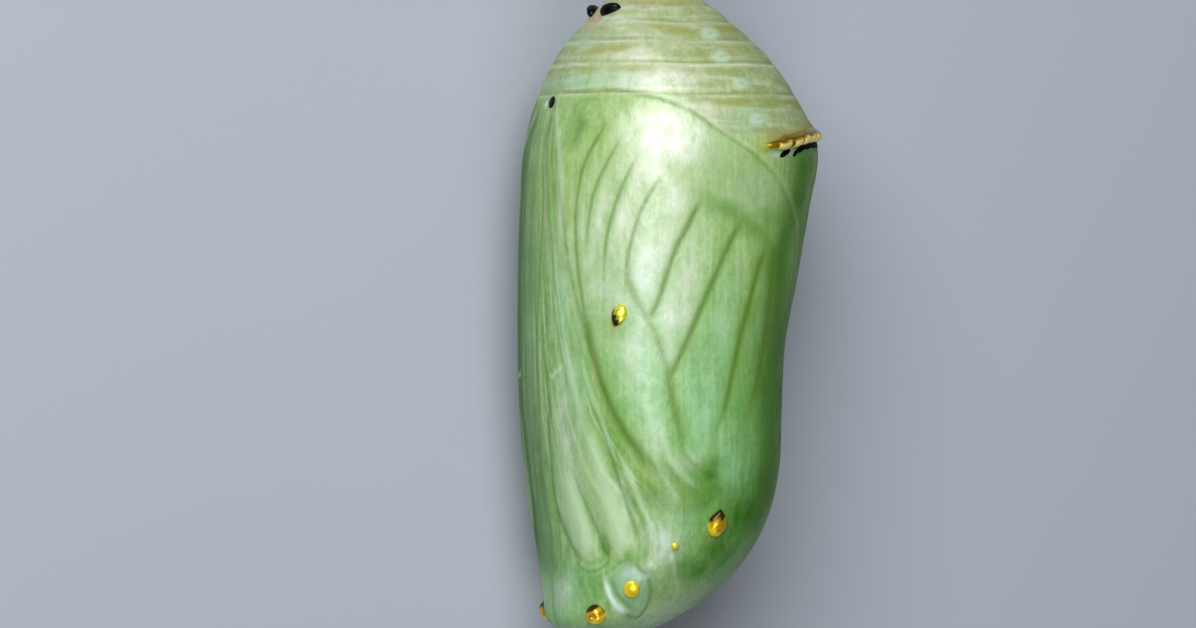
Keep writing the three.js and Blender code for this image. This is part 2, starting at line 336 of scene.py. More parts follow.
def drawWing(skin):
    # the rim shows towards the tail and fades out at the wing's base
    bellyShare, backShare = [smoothStep(skin.along, *start) for start in wing["rimStarts"]]
    rim = bellyShare + (backShare - bellyShare) * smoothStep(skin.folded, *wing["rimTurn"])
    inWing = smoothStep(skin.inWing, -wing["riseWidth"], wing["riseWidth"])
    lift = rim * (wing["rise"] * inWing - wing["rimDepth"] * besideWing(skin, *wing["rimGroove"]))
    veins = strokes(skin, wing["veins"])
    halo = strokes(skin, wing["veins"], *wing["haloWidths"])
    lift -= wing["veinDepth"] * veins + wing["haloDepth"] * halo

    line = smoothPath(wing["marginLine"])
    beyond = skin.along - alongLine(line, skin.folded)
    first, last = [smoothStep(skin.folded, *end) for end in wing["marginEnds"]]
    margin = first * last
    lift += wing["marginRise"] * margin * smoothStep(beyond, *wing["marginRamp"]) * inWing
    shade = falloff(distanceTo(skin, line)[0], np.where(beyond < 0, *wing["marginWidths"]))
    flank, _ = distanceTo(skin, smoothPath(wing["flankShade"]), 3 * wing["flankWidth"])
    rim *= smoothStep(skin.folded, *wing["bellyEnd"])
    # the rim's painted highlight
    pale = besideWing(skin, *wing["rimHighlight"]) * smoothStep(skin.along, *wing["paleStart"])
    return lift, dict(
        wingRim=rim * besideWing(skin, *wing["rimDark"]),
        rimHighlight=rim * pale,
        vein=veins,
        halo=halo,
        margin=margin * shade,
        flankShade=falloff(flank, wing["flankWidth"]),
    )


belly = dict(
    # dark grooves between the tongue, the legs and the antennae, as rows like the veins
    seams=[
        (0.075, 0.9, 0.25, 0, [(9.2, 14), (8.7, 13.5), (7.3, 11), (6.3, 11), (5.3, 11), (4.3, 14),
            (3.55, 20), (2.95, 25.5)]),
        (0.08, 0.95, 0.2, 0, [(6.5, 25), (6.1, 26), (5.4, 29), (4.65, 34), (3.9, 39), (3.35, 42.5),
            (3.05, 45.5)]),
        (0.075, 0.9, 0.2, 0.2, [(9.3, 36), (8.55, 39), (7.8, 43), (7.05, 46), (6.3, 48.5), (5.6, 51),
            (4.8, 55), (4.1, 58.5), (3.35, 63)]),
        (0.055, 0.7, 0.2, 0.3, [(8.4, 42.5), (8.0, 44.3), (7.05, 48.5), (6.3, 51.5), (5.6, 54.3),
            (5.0, 57)]),
        (0.07, 0.55, 0.05, 0.2, [(19.3, 5), (17.7, 7), (16.0, 8.5), (14.0, 8), (11.0, 5.5), (8.0, 4),
            (5.0, 3.5), (3.2, 4)]),
        (0.06, 0.5, 0, 0.5, [(19.2, 7), (18.3, 7.5), (17.3, 10), (16.2, 12)]),
        (0.06, 0.4, 0.3, 0.4, [(13.5, 17), (12.0, 18.5), (10.6, 22), (9.2, 27), (8.2, 31.5), (7.2, 35)]),
        (0.05, 0.45, 0.3, 0.3, [(12.2, 26), (10.8, 30), (9.6, 34.5), (8.6, 38)]),
        (0.05, 0.35, 0.3, 0.2, [(15.8, 12), (13.5, 12.5), (11.8, 13), (10.2, 14)]),
        (0.05, 0.35, 0.3, 0.4, [(8.2, 18), (6.6, 19), (5.3, 20.5)]),
    ],
    seamDepth=0.035,
    valleyDepth=0.03,
    valleyWidth=3.5,  # times the seam's
    # pale raised strips, the legs' and the antenna's
    strips=[
        (0.3, 0.8, 0.3, 0.12, [(8.4, 33), (7.6, 37), (6.7, 40), (5.85, 42.5), (5.1, 46), (4.45, 50.5),
            (3.8, 54.5), (3.1, 59)]),
        (0.1, 0.7, 0.25, 0.3, [(10.6, 34), (9.6, 37), (8.75, 40.5), (8.0, 43.8), (7.4, 46), (6.9, 48),
            (6.15, 50)]),
        (0.12, 0.85, 0.25, 0.3, [(6.8, 52), (6.15, 55), (5.4, 59), (4.85, 62), (4.3, 65.5), (3.65, 69)]),
        (0.42, 0.75, 0.3, 0.1, [(6.9, 22), (5.8, 25), (4.9, 27), (4.3, 29.5), (3.6, 33), (3.1, 36)]),
        (0.22, 0.55, 0.4, 0.3, [(11.5, 24), (10.2, 27.5), (9.0, 31), (8.0, 34)]),
        (0.16, 0.65, 0.05, 0.4, [(19.6, 9), (18.6, 15), (17.5, 19.5), (16.2, 21), (14.7, 22), (13.4, 25)]),
        (0.13, 0.6, 0.3, 0.3, [(8.0, 70), (7.1, 73), (6.4, 77), (6.0, 81)]),
        (0.18, 0.5, 0.4, 0.3, [(9.3, 62), (8.2, 66), (7.4, 69.5)]),
        (0.09, 0.65, 0.3, 0.3, [(7.0, 73), (6.4, 78), (5.9, 83), (5.5, 87.5)]),
        (0.08, 0.55, 0.3, 0.3, [(6.3, 68), (5.8, 73), (5.3, 78), (4.95, 82)]),
        (0.08, 0.5, 0.3, 0.3, [(7.3, 80), (6.8, 84), (6.4, 88)]),
    ],
    stripRise=0.025,
    # the broad ends of the first leg and of the next pair, swollen between their seams
    lobes=[
        [(9.4, 15), (8.6, 14.4), (7.3, 11.9), (6.3, 11.9), (5.3, 11.9), (4.3, 15), (3.6, 20.8), (3.0, 26.4),
            (2.74, 34), (2.78, 39), (3.1, 44.6), (3.4, 41.6), (3.95, 38), (4.7, 33), (5.45, 28.2),
            (6.15, 25.2), (7.2, 22), (8.4, 19)],
        [(3.45, 44), (4.0, 40.4), (4.76, 35.4), (5.5, 30.4), (6.2, 27.2), (7.2, 26), (8.6, 30), (9.2, 35),
            (8.5, 38.3), (7.75, 42), (7.0, 45), (6.25, 47.5), (5.55, 50), (4.75, 54), (4.05, 57.4),
            (3.45, 61), (3.1, 57), (3.15, 50)],
    ],
    lobeRise=0.036,
    lobeSlope=(-0.05, 0.6),  # mm inside its edge, over which it rises
    lobeEdge=(0.02, 0.3),  # and over which it turns pale
    lobeTip=(7.5, 4.5),  # along, over which it turns paler still
    # fine creases over the wing's base
    creases=[
        [(7.2, 60), (6.5, 66), (5.9, 71), (5.5, 77), (5.2, 83)],
        [(6.9, 69), (6.3, 75), (5.8, 80), (5.5, 86), (5.3, 91)],
        [(6.2, 60), (5.5, 66), (5.0, 72), (4.8, 79)],
        [(7.0, 79), (6.4, 86), (6.0, 93), (5.8, 99)],
    ],
    creaseStroke=(0.09, 0.3, 0.3),
    creaseDepth=0.02,
    notch=(9.66, 13.6, 0.13, 0.07),  # where a leg ends: along, around and sizes
    notchDepth=0.12,
    limbEnds=((2.6, 3.4), (20.1, 19.8)),  # along, of the strip of limbs between the wings
    limbSide=(88, 70),  # around, on the head
    # the limbs' lines fan out from the tip of the tongue up to here: along, around
    fan=[
        (0.0, 110), (4.0, 100), (5.3, 84), (6.1, 70), (8.2, 52), (11.0, 39), (13.6, 29), (16.2, 21.5),
        (18.4, 15), (19.9, 9), (21.0, 5),
    ],
)


def drawBelly(skin):
    seams = strokes(skin, belly["seams"])
    strips = strokes(skin, belly["strips"])
    creases = strongest(stroke(skin, path, *belly["creaseStroke"]) for path in belly["creases"])
    notch = blob(skin, *belly["notch"])
    lift = belly["stripRise"] * strips - belly["seamDepth"] * seams
    lift -= belly["valleyDepth"] * strokes(skin, belly["seams"], belly["valleyWidth"])
    lift -= belly["creaseDepth"] * creases + belly["notchDepth"] * notch
    depths = [inside(skin, lobe) for lobe in belly["lobes"]]
    lift += belly["lobeRise"] * sum(smoothStep(depth, *belly["lobeSlope"]) for depth in depths)
    lobes = strongest(smoothStep(depth, *belly["lobeEdge"]) for depth in depths)
    limbs = smoothStep(-skin.inWing, 0, 0.2) * smoothStep(skin.folded, *belly["limbSide"])
    for end in belly["limbEnds"]:
        limbs *= smoothStep(skin.along, *end)
    return lift, dict(
        # the seams also carry the tongue's painted shade line
        seam=seams + 0.45 * skin.lines["tongueShade"] + notch,
        strip=strips,
        crease=creases,
        lobe=lobes * (0.5 + 0.5 * smoothStep(skin.along, *belly["lobeTip"])),
        limb=limbs,
        flow=skin.folded / np.interp(skin.along, *np.array(belly["fan"]).T),
    )


abdomen = dict(
    # along, how pale the ring's edge is
    rings=[(20.0, 0.7), (21.15, 1.0), (22.0, 0.6), (22.72, 0.4), (23.36, 0.3)],
    backRings=[(14.6, 0.5), (16.5, 0.5)],  # faint, and only over the back
    ends=(18.8, 24.1),
    swell=0.02,  # of the skin between two rings
    grooveDepth=0.022,
    # mm tailward of the ring's place, and half-width
    groove=(0.05, 0.07),
    lip=(-0.07, 0.06),
    lipRise=0.012,
    # how the rings sway: mm, waves in a turn, degrees
    sway=[(0.03, 3, 0), (0.02, 7, 40)],
    # olive bands: along, half-width, strength on the belly side and on the back
    bands=[
        (19.72, 0.2, 0.15, 0.8), (20.9, 0.17, 0.75, 0.35), (21.62, 0.24, 0.85, 0.5),
        (22.45, 0.25, 0.5, 1.0), (23.0, 0.16, 0.5, 0.3), (23.75, 0.3, 0.4, 0.6),
    ],
    spiracles=[(22.25, 102), (21.38, 100), (20.4, 104), (19.08, 106)],
    spiracleRise=0.03,
    slitDepth=0.05,
    # from a breathing hole: along and around, then sizes, and the slant in degrees
    slit=(0, 0, 0.05, 0.2, -14),
    swelling=(0, -0.5, 0.19, 0.34, -14),
    halo=(-0.02, -1, 0.2, 0.36, -14),
    haloEdge=(1.625, 0.375),  # times the halo's size
)


def drawAbdomen(skin):
    # a ring is a groove with a bright lip on its head side, and sways a little
    place = skin.along.copy()
    for height, waves, start in abdomen["sway"]:
        place -= height * np.sin(np.radians(waves * skin.folded + start))
    front = np.clip(smoothStep(skin.along, 19.85, 19.95) + smoothStep(skin.folded, 70, 84), 0, 1)
    back = smoothStep(skin.folded, 132, 146) * (skin.inWing < 0)
    rings = [(along, front, pale) for along, pale in abdomen["rings"]]
    rings += [(along, back, pale) for along, pale in abdomen["backRings"]]
    (grooveShift, grooveWidth), (lipShift, lipWidth) = abdomen["groove"], abdomen["lip"]
    groove = strongest(share * falloff(place - along - grooveShift, grooveWidth)
                       for along, share, _ in rings)
    lip = strongest(pale * share * falloff(place - along - lipShift, lipWidth)
                    for along, share, pale in rings)
    lift = abdomen["lipRise"] * lip - abdomen["grooveDepth"] * groove
    first, last = abdomen["ends"]
    edges = [first] + [along for along, _ in abdomen["rings"]] + [last]
    for low, high in zip(edges[:-1], edges[1:]):
        t = np.clip((skin.along - low) / (high - low), 0, 1)
        share = smoothStep(skin.folded, 60, 90) if low == first else 1
        lift += abdomen["swell"] * 4 * t * (1 - t) * share

    beside = smoothStep(-skin.inWing, 0, 0.1) * smoothStep(skin.folded, 70, 80)
    onAbdomen = smoothStep(skin.along, 20.0, 20.12) + beside * smoothStep(skin.along, 18.3, 18.5)
    onAbdomen = np.clip(onAbdomen, 0, 1)
    onBack = smoothStep(skin.folded, 40, 95)
    bands = strongest((low + (high - low) * onBack) * falloff(place - along, width)
                      for along, width, low, high in abdomen["bands"])
    slits, swellings, halos = [[ovalRadius(skin, place[0] + along, place[1] + around, *sizes)
                                for place in abdomen["spiracles"]]
                               for along, around, *sizes in
                               (abdomen["slit"], abdomen["swelling"], abdomen["halo"])]
    slit = strongest(falloff(radius, 1) for radius in slits)
    swelling = sum(falloff(radius, 1) for radius in swellings)
    lift += abdomen["spiracleRise"] * swelling - abdomen["slitDepth"] * slit
    return lift, dict(
        abdomen=onAbdomen,
        ringGroove=groove,
        ringLip=lip,
        band=bands * onAbdomen,
        slit=slit,
        slitHalo=strongest(smoothStep(radius, *abdomen["haloEdge"]) for radius in halos),
    )


ridge = dict(
    path=[
        (18.08, 104), (18.12, 110), (18.17, 116), (18.25, 122.5), (18.35, 129), (18.44, 136), (18.5, 146),
        (18.53, 158), (18.53, 170), (18.53, 180),
    ],
    start=105.4,
    swell=0.16,  # of the skin under the gold
    tailSlope=0.42,  # over which it falls away towards the tail
    headSlope=0.14,
    crestHeight=0.28,
    crestFront=0.13,
    lobeDepth=0.09,
    crestBack=0.36,
    crestThickness=0.12,
    crestMesh=(700, 26),
    # around, half-width in degrees
    lobes=[
        (115.3, 3.5), (123.9, 3.0), (130.7, 3.1), (137.3, 3.2), (144.2, 3.4), (151.4, 3.5), (158.6, 3.6),
        (165.8, 3.6), (172.9, 3.6), (180.0, 3.6),
    ],
    # black below the gold: path, half-width, shares that taper at the start and the end
    soot=[
        ([(17.72, 113.6), (17.81, 116.6), (17.94, 119.8)], 0.17, 0.4, 0.4),
        ([(17.74, 121.6), (17.83, 123.2), (17.98, 126.6), (18.09, 131.5), (18.15, 138), (18.19, 148),
          (18.21, 160), (18.21, 180)], 0.15, 0.14, 0),
    ],
    sootThickness=0.08,
    sootMesh=(200, 8),
    sootClimb=([-0.42, -0.2, -0.1], [0.0, 0.02, 0.12]),  # up the swollen skin: mm tailward, rise
)


def drawRidge(skin):
    # the skin swells towards the gilded ridge round the back
    tailward = skin.along - alongLine(smoothPath(ridge["path"]), skin.folded)
    start = smoothStep(skin.folded, ridge["start"] - 4, ridge["start"] + 5)
    slope = np.where(tailward > 0, ridge["tailSlope"], ridge["headSlope"])
    return ridge["swell"] * start * np.exp(-np.abs(tailward / slope) ** 2.2), dict(
        amber=start * smoothStep(tailward, -0.02, 0.08) * smoothStep(tailward, 0.7, 0.25),
        ridgeShade=start * falloff(tailward + 0.42, 0.2) * smoothStep(skin.folded, 118, 126),
    )


head = dict(
    eye=[
        (2.62, 51), (2.78, 58), (2.55, 66), (2.25, 73), (1.85, 79), (1.4, 84), (1.0, 88), (0.76, 88),
        (0.9, 75), (1.15, 65), (1.5, 57), (1.9, 51), (2.3, 47),
    ],
    eyeRise=0.05,
    eyeSlope=(0, 0.5),  # mm inside its edge
    eyeGroove=0.03,
    grooveWidth=0.06,
    darkWidth=0.07,
    darkStart=(52, 66),  # around
)


def drawHead(skin):
    inEye = inside(skin, head["eye"])
    lift = head["eyeRise"] * smoothStep(inEye, *head["eyeSlope"])
    lift -= head["eyeGroove"] * falloff(inEye, head["grooveWidth"])
    edge = falloff(inEye, head["darkWidth"]) * smoothStep(skin.folded, *head["darkStart"])
    return lift, dict(
        eye=smoothStep(inEye, -0.04, 0.06),
        # the eye's edge mark also carries the sickle's painted shade line
        eyeEdge=np.maximum(edge, skin.lines["sickleShade"]),
    )


tongueTip = [(2.97, 25), (2.75, 29), (2.64, 34), (2.66, 39), (2.8, 43.5), (3.05, 46)]
sickle = [
    (2.5, 43.6), (2.25, 46), (1.98, 49), (1.67, 53), (1.4, 58.5), (1.19, 64.5), (1.0, 71.5), (0.84, 79),
]

# single lines: half-width, lift, shares that fade at the start and the end, path
lines = dict(
    tongueTip=(0.07, 0.02, 0, 0, tongueTip),
    tongueShade=(0.07, -0.025, 0, 0, [(along - 0.13, around) for along, around in tongueTip]),
    legTip=(0.06, 0.05, 0, 0, [(9.95, 23), (9.75, 19), (9.6, 16), (9.75, 14)]),
    scar=(0.16, -0.04, 0.1, 0.2, [(23.35, 2), (22.95, 7), (22.6, 13)]),
    sickle=(0.08, 0.03, 0.25, 0.3, sickle),
    sickleShade=(0.06, -0.02, 0.3, 0.3, [(along + 0.16, around + 3) for along, around in sickle]),
    brow=(0.05, 0, 0.2, 0.2, [(2.62, 50), (2.82, 57), (2.72, 62), (2.45, 68)]),
    cheek=(0.06, 0.04, 0.15, 0.25, [(3.3, 79), (2.85, 84), (2.4, 88), (1.9, 95), (1.45, 104)]),
    collar=(0.08, 0.02, 0.2, 0.2, [(2.95, 66), (2.4, 77), (1.8, 86), (1.1, 96)]),
    chin=(0.15, -0.05, 0, 0, [(0.5, 0), (1.4, 0), (2.4, 0)]),
    smudge=(0.22, 0, 0.3, 0.4, [(19.3, 30), (18.5, 27.5), (17.7, 26)]),
)

# soft patches of darker and paler skin, and of painted shade and painted highlight: along, around, size
# along, size around, strength
shading = dict(
    # those along the middle of the belly and those on the back from about 124 degrees on are painted shade
    # that darkens the outline's edges; the others are darker green skin
    deep=[
        (7.0, 0, 4.6, 0.55, 0.85), (3.2, 3, 1.2, 0.5, 0.7), (12.5, 0, 3.5, 0.5, 0.45),
        (4.4, 119, 1.3, 1.6, 1.0), (5.6, 128, 1.4, 1.3, 1.0), (3.2, 110, 0.9, 1.1, 0.9),
        (2.65, 98, 0.5, 1.0, 0.9), (3.4, 103, 0.6, 0.9, 0.7), (6.0, 91.5, 0.32, 0.4, 0.85),
        (5.5, 94, 0.4, 0.5, 0.7), (6.5, 94, 0.4, 0.25, 0.5), (5.0, 91, 0.3, 0.4, 0.5),
        (4.9, 112, 1.0, 1.2, 0.85), (5.3, 62, 0.6, 0.45, 0.4), (5.4, 68, 0.4, 0.4, 0.45),
        (9.5, 124, 2.6, 0.8, 0.75), (13.2, 125, 1.6, 0.6, 0.6), (16.2, 134, 1.2, 0.8, 0.8),
        (17.4, 132, 0.7, 1.4, 0.8), (7.0, 126, 1.6, 0.8, 0.6), (16.0, 165, 2.6, 3.0, 0.7),
        (9.5, 165, 6.0, 3.2, 0.85), (6.5, 144, 2.5, 1.2, 0.7), (3.5, 130, 1.2, 1.2, 0.5),
        (9.5, 143, 5.0, 1.5, 0.95), (6.2, 138, 2.0, 1.3, 0.9), (14.8, 146, 1.8, 1.2, 0.8),
    ],
    green=[
        (16.8, -2, 2.4, 0.7, 0.7), (13.0, 3, 3.5, 0.6, 0.6), (16.0, 14, 2.4, 0.5, 0.5),
        (5.0, 84, 1.0, 1.6, 0.5), (5.3, 8, 2.6, 0.7, 0.6), (6.0, 17, 1.6, 0.35, 0.5),
        (15.5, 110, 0.5, 1.2, 0.7), (15.9, 95, 0.35, 1.0, 0.6), (8.5, 108, 2.6, 0.9, 0.5),
        (11.5, 112, 2.2, 0.8, 0.5), (19.0, 30, 0.8, 0.9, 0.55), (2.2, 34, 0.4, 0.7, 0.6),
        (1.5, 36, 0.5, 0.5, 0.4), (2.9, 88, 0.4, 0.6, 0.5),
    ],
    # the patches round along 17 to 18.3 and 60 to 68 degrees are a painted highlight; the others are paler
    # skin
    pale=[
        (17.86, 120.5, 0.14, 0.13, 0.9), (3.47, 81, 0.24, 0.24, 0.6), (6.5, 82, 0.3, 0.4, 0.6),
        (14.6, 60, 3.4, 2.7, 0.6), (12.6, 62, 1.4, 0.6, 0.8), (14.2, 69, 1.6, 0.6, 0.7),
        (12.6, 80, 2.0, 0.7, 0.6), (20.7, 70, 0.5, 1.4, 0.9), (22.9, 40, 0.35, 1.3, 0.6),
        (21.5, 45, 0.3, 1.2, 0.5), (19.3, 84, 0.7, 0.8, 0.5), (13.4, 64, 1.5, 0.75, 1.0),
        (16.0, 71, 1.3, 0.8, 0.7), (11.6, 74, 1.6, 0.55, 0.7), (13.4, 82, 1.6, 0.6, 0.5),
        (15.6, 52, 1.3, 0.5, 0.7), (15.2, 42, 1.6, 0.35, 0.6), (17.2, 60, 1.2, 1.2, 0.7),
        (18.3, 68, 1.3, 1.8, 1.0), (10.6, 60, 1.6, 0.5, 0.6), (20.6, 62, 0.5, 1.6, 0.85),
        (21.5, 56, 0.4, 1.0, 0.7), (17.0, 64, 1.2, 0.9, 0.8), (1.0, 108, 0.7, 1.6, 0.5),
        (1.7, 13, 0.5, 0.7, 0.6), (0.6, 150, 0.5, 2.5, 0.45), (14.9, 33.5, 1.6, 0.22, 0.5),
        (7.2, 68, 1.0, 0.5, 0.45), (7.8, 24, 1.4, 0.5, 0.5), (5.0, 52, 1.4, 0.5, 0.35),
        (2.0, 60, 0.4, 0.5, 0.25), (3.0, 80, 0.8, 0.7, 0.4), (21.9, 60, 1.2, 2.2, 0.35),
    ],
    mint=[
        (20.5, 24, 0.32, 2.0, 0.9), (12.0, 26, 2.2, 0.7, 0.65), (9.6, 30, 1.8, 0.8, 0.5),
        (12.8, 66, 1.2, 0.6, 0.6), (10.0, 66, 1.8, 0.8, 0.7), (8.5, 89, 1.8, 0.8, 0.8),
        (8.6, 69, 1.2, 0.4, 0.6), (6.6, 102, 1.3, 0.8, 0.75), (5.0, 70, 0.9, 0.6, 0.3),
        (19.2, 102, 0.45, 0.6, 0.7), (18.75, 96, 0.4, 0.9, 0.45), (4.5, 84, 0.6, 0.7, 0.5),
        (1.75, 12, 0.6, 0.9, 0.4), (2.2, 22, 0.4, 0.4, 0.5), (22.0, 8, 0.7, 1.0, 0.6),
        (3.6, 22, 0.5, 0.3, 0.5), (2.4, 94, 0.6, 0.35, 0.5), (11.0, 95, 2.0, 0.7, 0.5),
    ],
    olive=[
        (18.8, 32, 0.7, 0.8, 0.35), (16.0, 26, 2.4, 0.35, 0.55), (13.0, 31, 1.8, 0.3, 0.6),
        (16.5, 12, 2.0, 0.6, 0.35), (5.5, 79, 0.4, 0.5, 0.6), (5.9, 66, 0.6, 0.4, 0.6),
        (1.6, 97, 0.6, 0.7, 0.5), (17.9, 104, 0.5, 0.6, 0.6), (13.0, 108, 1.8, 0.5, 0.45),
        (10.2, 109, 1.8, 0.4, 0.4), (3.1, 34, 0.3, 0.3, 0.6), (2.3, 40, 0.2, 0.4, 0.3),
    ],
    grey=[
        (16.6, 100, 1.0, 1.6, 0.7), (17.4, 90, 0.9, 1.0, 0.5), (2.6, 133, 1.4, 0.7, 0.8),
        (1.5, 124, 0.6, 0.9, 0.8),
    ],
    crumple=[
        (6.0, 80, 0.7, 0.8, 0.9), (5.3, 86, 0.8, 0.8, 0.9), (5.2, 74, 0.5, 0.6, 0.7),
        (6.4, 90, 0.35, 0.5, 0.9),
    ],
    lilac=[
        (17.76, 111.4, 0.12, 0.34, 0.8), (2.36, 72, 0.12, 0.16, 0.8), (3.65, 74, 0.42, 0.42, 0.8),
        (3.9, 66, 0.35, 0.3, 0.5), (3.2, 76, 0.2, 0.3, 0.6), (2.6, 70, 0.16, 0.16, 0.7),
        (12.7, 47, 0.3, 0.3, 0.35), (2.5, 60, 0.25, 0.3, 0.7),
    ],
    ochre=[
        (4.15, 99, 0.62, 0.42, 0.45), (0.82, 50, 0.5, 0.5, 0.45), (11.62, 50.5, 0.45, 0.26, 0.75),
        (18.0, 106, 0.25, 0.4, 0.5),
    ],
    tan=[
        (1.9, 86, 0.7, 0.4, 0.25), (15.3, 10.5, 0.5, 0.07, 0.8), (15.4, 2, 0.4, 0.07, 0.5),
        (22.9, 7, 0.4, 0.25, 0.7), (24.0, 90, 0.35, 3.0, 0.9), (23.5, 60, 0.2, 2.0, 0.45),
        (10.0, 41, 0.7, 0.12, 0.4),
    ],
    # a painted highlight beside the black dot at the end of the tongue
    dotHighlight=[(19.68, 0.5, 0.14, 0.1, 1)],
)


# painted shade: the side that it lies on is darkened past the belly, along the outline's edge; the wax is
# duller there and on the back
lowerSideShade = dict(
    sides=((1, -15), (-180, -140)),  # around
    ends=((1.8, 4.0), (20.2, 19.2)),  # along
    backDull=(100, 135),  # around
)


def drawPatches(skin):
    marks = {}
    for name, patches in shading.items():
        marks[name] = strongest(level * blob(skin, *oval) for *oval, level in patches)
    sides = [smoothStep(skin.around, *side) for side in lowerSideShade["sides"]]
    ends = [smoothStep(skin.along, *end) for end in lowerSideShade["ends"]]
    lower = sides[0] * sides[1]
    marks["lowerSideShade"] = lower * ends[0] * ends[1]
    marks["dull"] = np.maximum(lower, smoothStep(skin.folded, *lowerSideShade["backDull"]))
    return 0, marks


# the dark, mossy and bright marks: the direction of a stud's darker, greener and brighter side, in degrees
# from the tail towards the belly, and how far out each starts; on the horns, the shoulder studs and the
# wing studs the darker side is painted shade and the brighter side a painted highlight
studs = dict(
    head_horns=dict(place=(0.93, 50), size=(0.37, 0.37, 0.4), brownAndShade=(52, 0.45), bright=(-120, 0.1),
                    dimple=0.12),
    shoulder_studs=dict(place=(4.3, 98.5), size=(0.52, 0.37, 0.26), brownAndShade=(15, 0.3),
                        bright=(160, 0.35), point=0.6),
    small_studs=dict(place=(3.47, 81), size=(0.15, 0.15, 0.1), bright=(0, -9), moss=(0, -9)),
    eye_studs=dict(place=(1.9, 66.2), size=(0.35, 0.28, 0.12), bright=(0, -9), turn=25),
    wing_studs=dict(place=(11.88, 53), size=(0.42, 0.27, 0.16), moss=(0, -9), brownAndShade=(150, 0.15),
                    bright=(-30, -0.1), point=-0.35, turn=-22),
)

dome = dict(
    subdivisions=5,
    dimpleWidth=0.3,  # of the stud's size, as are the next three
    unevenness=0.04,
    skirtHeight=0.55,  # up to which the gold is dulled
    patchEdge=0.25,  # over which a patch comes in
    patchWaver=0.12,
)

sheet = dict(
    around=350,
    rings=284,
    seam=0.0001,  # closer vertices are merged
    collarRise=0.04,  # of the skin round each stud
    collarSize=1.35,  # times the stud's
)
made = {}  # the finished skin's places and lifts, on which studs are set


def drawSkin(skin):
    # every vertex's lift, and its marks from 0 to 1, which the material reads
    lift = np.zeros(skin.along.shape)
    for name, (width, rise, fadeStart, fadeEnd, path) in lines.items():
        skin.lines[name] = stroke(skin, path, width, fadeStart, fadeEnd)
        lift += rise * skin.lines[name]
    marks = {name: skin.lines[name] for name in ("scar", "sickle", "smudge")}
    marks["paleLine"] = (0.45 * skin.lines["tongueTip"] + skin.lines["legTip"]
                         + 0.45 * skin.lines["cheek"] + 0.6 * skin.lines["brow"])
    for draw in (drawWing, drawBelly, drawAbdomen, drawRidge, drawHead, drawPatches):
        rise, drawn = draw(skin)
        lift += rise
        marks.update(drawn)
    for stud in studs.values():
        size = [sheet["collarSize"] * length for length in stud["size"][:2]]
        lift += sheet["collarRise"] * blob(skin, *stud["place"], *size)
    ends = smoothStep(skin.along, 24.6, 24.3) * smoothStep(skin.along, 0, 0.05)
    return lift * ends, marks


def spaceOut(shares, places, steps, density):
    # shares from 0 to 1 as places that lie closer where the density is higher
    weight = np.concatenate([[0], np.cumsum(steps * (density[1:] + density[:-1]) / 2)])
    return np.interp(shares * weight[-1], weight, places)


def readPlaces(piece):
    places = np.empty(len(piece.data.vertices) * 3)
    piece.data.vertices.foreach_get("co", places)
    return places.reshape(-1, 3)


def addSheet(columns, rows):
    # a flat grid, and where its vertices are across and down it, from 0 to 1
    clearSelection()
    bpy.ops.mesh.primitive_grid_add(x_subdivisions=columns, y_subdivisions=rows, size=2)
    piece = bpy.context.object
    x, y, _ = readPlaces(piece).T
    return piece, (x + 1) / 2, (y + 1) / 2


def writePlaces(piece, places):
    piece.data.vertices.foreach_set("co", places.ravel())
    piece.data.update()


def writeMarks(piece, marks):
    for name, values in marks.items():
        layer = piece.data.attributes.new(name, "FLOAT", "POINT")
        layer.data.foreach_set("value", np.clip(values, 0, 1).astype(np.float32))


def makeSkin():
    # a fine sheet rolled up to the outline, vertex by vertex, then closed at its seam and ends
    piece, across, down = addSheet(sheet["around"], sheet["rings"])
    # columns lie closer at the belly, and wider apart on the side that lies on the floor
    degrees = np.linspace(-180, 180, 1441)
    density = 1 + 0.4 * falloff(degrees, 40) - 0.72 * np.exp(-((degrees + 90) / 42) ** 4)
    around = spaceOut(across, degrees, 1, density)
    # rings lie closer at the gilded ridge, the abdomen and the head
    along = outline[:, 0]
    density = 1 + 1.6 * falloff(along - 18.2, 0.55) + 0.5 * (along > 18.8) + 0.5 * (along < 3.2)
    arc = spaceOut(down, outlineArc, outlineStep, density)
    along = np.interp(arc, outlineArc, along)
    lift, marks = drawSkin(Skin(along, around))
    made.update(along=along, around=around, lift=lift)
    writePlaces(piece, onSkin(arc, around, lift))
    writeMarks(piece, marks)
    bpy.ops.object.mode_set(mode="EDIT")
    bpy.ops.mesh.select_all(action="SELECT")
    bpy.ops.mesh.remove_doubles(threshold=sheet["seam"] * mm)
    bpy.ops.object.mode_set(mode="OBJECT")
    bpy.ops.object.shade_smooth()
    return piece


def skinFrame(place, side):
    # the turn and place of something set on the skin: its Z out, its X towards the tail
    arc = arcAt(np.array([place[0]], float))
    around = np.array([place[1] * side], float)
    nearest = np.argmin((made["along"] - place[0]) ** 2
                        + ((made["around"] - around[0]) * degreeLength) ** 2)
    normal = skinNormals(arc, around)[0]
    point = skinPoints(arc, around)[0]
    tailward = skinPoints(arc + 0.05, around)[0] - point
    tailward -= normal * np.dot(tailward, normal)
    tailward /= np.linalg.norm(tailward)
    across = np.cross(normal, tailward)
    turn = Matrix([[tailward[k], across[k], normal[k]] for k in range(3)]).to_4x4()
    return Matrix.Translation(Vector(toRow(point + normal * made["lift"][nearest]))) @ turn


def joinPieces(pieces):
    clearSelection()
    for piece in pieces:
        piece.select_set(True)
    bpy.context.view_layer.objects.active = pieces[0]
    bpy.ops.object.join()
    return bpy.context.object


def finishPiece(piece, name, material):
    piece.name = name
    piece.data.materials.clear()
    piece.data.materials.append(material)
    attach(piece, "root")
    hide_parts("chrysalis")
    print("made", name)


